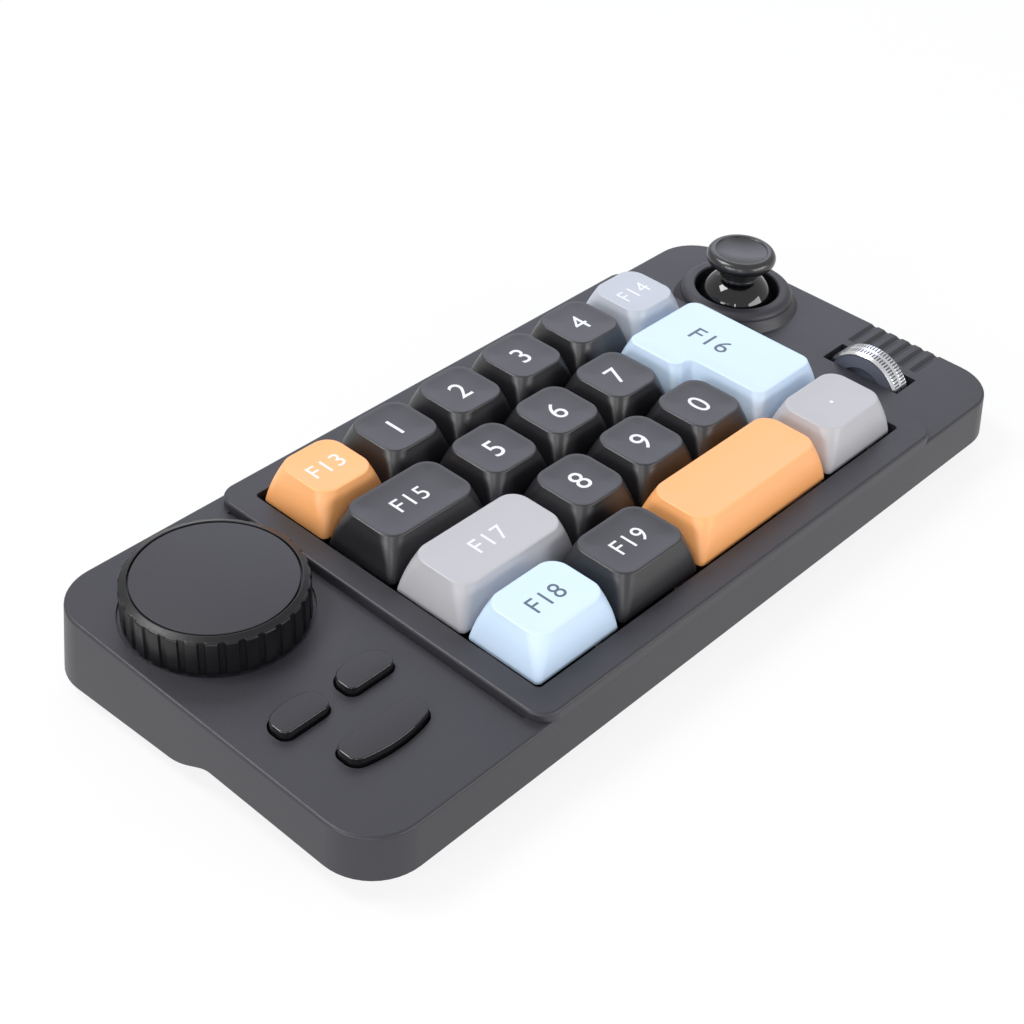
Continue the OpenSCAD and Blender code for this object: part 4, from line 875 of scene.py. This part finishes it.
def make_roller():
    core = ROLLER_RADIUS - KNURL_DEPTH
    band = ROLLER_RADIUS - RIM_BAND_DROP
    groove = ROLLER_RADIUS - RIM_GROOVE_DROP
    band_end = ROLLER_WIDTH - ROLLER_BEVEL
    groove_left = (ROLLER_WIDTH - RIM_GROOVE) / 2
    groove_right = (ROLLER_WIDTH + RIM_GROOVE) / 2
    ring = spin(
        [(ROLLER_INNER, 0), (ROLLER_RADIUS - ROLLER_BEVEL, 0),
         (ROLLER_RADIUS - RIM_EDGE, ROLLER_BEVEL - RIM_EDGE), (band, ROLLER_BEVEL),
         (core, ROLLER_BEVEL + RIM_WALL_RUN), (core, groove_left - RIM_WALL_RUN),
         (groove, groove_left), (groove, groove_right),
         (core, groove_right + RIM_WALL_RUN), (core, band_end - RIM_WALL_RUN),
         (band, band_end), (ROLLER_RADIUS - RIM_EDGE, band_end + RIM_EDGE),
         (ROLLER_RADIUS - ROLLER_BEVEL, ROLLER_WIDTH), (ROLLER_INNER, ROLLER_WIDTH), (ROLLER_INNER, 0)],
        RIM_STEPS)
    left_band = rim_tooth(ROLLER_BEVEL + TOOTH_GAP, groove_left - TOOTH_GAP)
    right_band = rim_tooth(groove_right + TOOTH_GAP, band_end - TOOTH_GAP)
    bands = [copies_round_axis(tooth, KNURL_COUNT, RIM) for tooth in (left_band, right_band)]
    along_x = Matrix.Translation((ROLLER_LEFT, *ROLLER_CENTRE)) @ Matrix.Rotation(math.pi / 2, 4, "Y")
    mesh = make_mesh("roller_tyre", joined(ring, *bands), KEY_FRAME @ along_x)
    add_piece("roller_tyre", mesh, RIM, "roller", "roller_metal", "roller_rim")

    # The faces down in the knurl's slots take the darker metal, as painted shade
    def in_painted_shade_slots(middle):
        out = math.hypot(middle.y - ROLLER_CENTRE.x, middle.z - ROLLER_CENTRE.y)
        from_middle = abs(middle.x - ROLLER_LEFT - ROLLER_WIDTH / 2)
        deep = ROLLER_INNER + SLOT_FLOOR_MARGIN < out < ROLLER_RADIUS - SLOT_TOP_MARGIN
        return deep and RIM_GROOVE / 2 < from_middle < SLOT_REACH

    paint(mesh, PAINTED_KNURL_SHADE, in_painted_shade_slots)


make_roller()

# ---- Case and what stays as the solids show it ----

SHELL_EDGE = 0.15
SHELL_EDGE_STEPS = 2
SHELL_EDGE_ANGLE = math.radians(35)
FLAT_ANGLE = math.radians(0.5)
# In metres, as the solids' meshes are
MERGE_DISTANCE = 1e-6


def make_shell():
    """The upper shell as its solid is, with its sharp edges rounded."""
    mesh = frame["nodes"]["top_case"].data.copy()
    work = bmesh.new()
    work.from_mesh(mesh)
    bmesh.ops.remove_doubles(work, verts=work.verts, dist=MERGE_DISTANCE)
    bmesh.ops.dissolve_limit(work, angle_limit=FLAT_ANGLE, verts=work.verts, edges=work.edges)
    work.to_mesh(mesh)
    work.free()
    piece = add_piece("top_case_skin", mesh, SHELL, "case", "shell", "top_case")
    bevel = piece.modifiers.new("round edges", "BEVEL")
    bevel.width = SHELL_EDGE * MM
    bevel.segments = SHELL_EDGE_STEPS
    bevel.limit_method = "ANGLE"
    bevel.angle_limit = SHELL_EDGE_ANGLE
    bevel.use_clamp_overlap = True
    smooth(mesh)
    level = piece.modifiers.new("level faces", "WEIGHTED_NORMAL")
    level.weight = 100
    level.keep_sharp = True


make_shell()

NODE_FINISHES = {
    "bottom_case": TRAY, "switch_plate": STEEL, "circuit_board": BOARD, "switch_housings": HOUSING,
    "encoder_shaft": STEEL, "encoder_body": STEEL, "button_switches": HOUSING, "joystick_gimbal": STEEL,
    "joystick_base": HOUSING, "roller_hub": WHEEL, "roller_encoder": BOARD, "usb_socket": STEEL,
    "rubber_feet": RUBBER, "case_screws": STEEL,
}
for key_name, *_ in KEYS:
    NODE_FINISHES["stem_" + key_name] = STEM
for node, material in NODE_FINISHES.items():
    solid = frame["nodes"][node]
    solid.data.materials.clear()
    solid.data.materials.append(material)

# ---- Stage and light ----

FLOOR_HALF = 3.0
FLOOR_ROUGHNESS = 0.9
WORLD_STRENGTH = 0.5


def add_area(name, place, target, size, power, colour=(1, 1, 1)):
    data = bpy.data.lights.new(name, "AREA")
    data.color = colour
    data.shape = "RECTANGLE"
    data.size, data.size_y = size
    data.energy = power
    lamp = new_object(name, data)
    lamp.location = place
    lamp.rotation_euler = (Vector(target) - Vector(place)).to_track_quat("-Z", "Y").to_euler()


def white_background(tree, lit, white_kind, target, camera_share, mirror_share):
    """Shows plain white, by a share, where the camera looks, and by another where a mirror or glass does."""
    path = tree.nodes.new("ShaderNodeLightPath")
    seen = math_step(tree, "MAXIMUM", (path, "Is Glossy Ray"), (path, "Is Transmission Ray"))
    mirror = math_step(tree, "MULTIPLY", (seen, "Value"), mirror_share)
    amount = math_step(tree, "MULTIPLY_ADD", (path, "Is Camera Ray"), camera_share, (mirror, "Value"))
    white = tree.nodes.new(white_kind)
    white.inputs["Color"].default_value = (1, 1, 1, 1)
    mix = tree.nodes.new("ShaderNodeMixShader")
    link(tree, amount, "Value", mix, 0)
    link(tree, lit, 0, mix, 1)
    link(tree, white, 0, mix, 2)
    link(tree, mix, 0, target, "Surface")


def make_floor():
    mesh = bpy.data.meshes.new("floor")
    corners = [(-FLOOR_HALF, -FLOOR_HALF, 0), (FLOOR_HALF, -FLOOR_HALF, 0),
               (FLOOR_HALF, FLOOR_HALF, 0), (-FLOOR_HALF, FLOOR_HALF, 0)]
    mesh.from_pydata(corners, [], [(0, 1, 2, 3)])
    material = bpy.data.materials.new("pale_floor")
    material.use_nodes = True
    tree = material.node_tree
    shader = tree.nodes["Principled BSDF"]
    shader.inputs["Base Color"].default_value = (0.9, 0.9, 0.9, 1)
    shader.inputs["Roughness"].default_value = FLOOR_ROUGHNESS
    white_background(tree, shader, "ShaderNodeEmission", tree.nodes["Material Output"],
                     camera_share=0.85, mirror_share=1.0)
    mesh.materials.append(material)
    floor = new_object("floor", mesh)


def make_studio():
    world = bpy.data.worlds.new("studio")
    bpy.context.scene.world = world
    world.use_nodes = True
    tree = world.node_tree
    sky = tree.nodes["Background"]
    sky.inputs["Color"].default_value = (0.97, 0.98, 1.0, 1)
    sky.inputs["Strength"].default_value = WORLD_STRENGTH
    white_background(tree, sky, "ShaderNodeBackground", tree.nodes["World Output"],
                     camera_share=1.0, mirror_share=0.3)

    # Place and target in metres, sides, power in watts, colour
    add_area("key_light", (-0.30, 0.40, 0.85), (0, 0, 0), (0.35, 0.35), 4.6)
    add_area("window_light", (0.75, 0.66, 0.72), (0, 0, 0), (1.0, 0.7), 2.6, (0.9, 0.93, 1.15))
    add_area("front_light", (0.30, -0.95, 0.32), (0, 0, 0), (0.8, 0.3), 4.0)
    add_area("left_light", (-0.95, -0.05, 0.36), (0, 0, 0), (0.5, 0.3), 3.0)
    add_area("strip_light", (-0.62, -0.52, 0.22), (0, 0, 0.01), (0.05, 0.5), 0.8)


make_floor()
make_studio()
set_camera()
bpy.context.scene.view_settings.view_transform = "Standard"
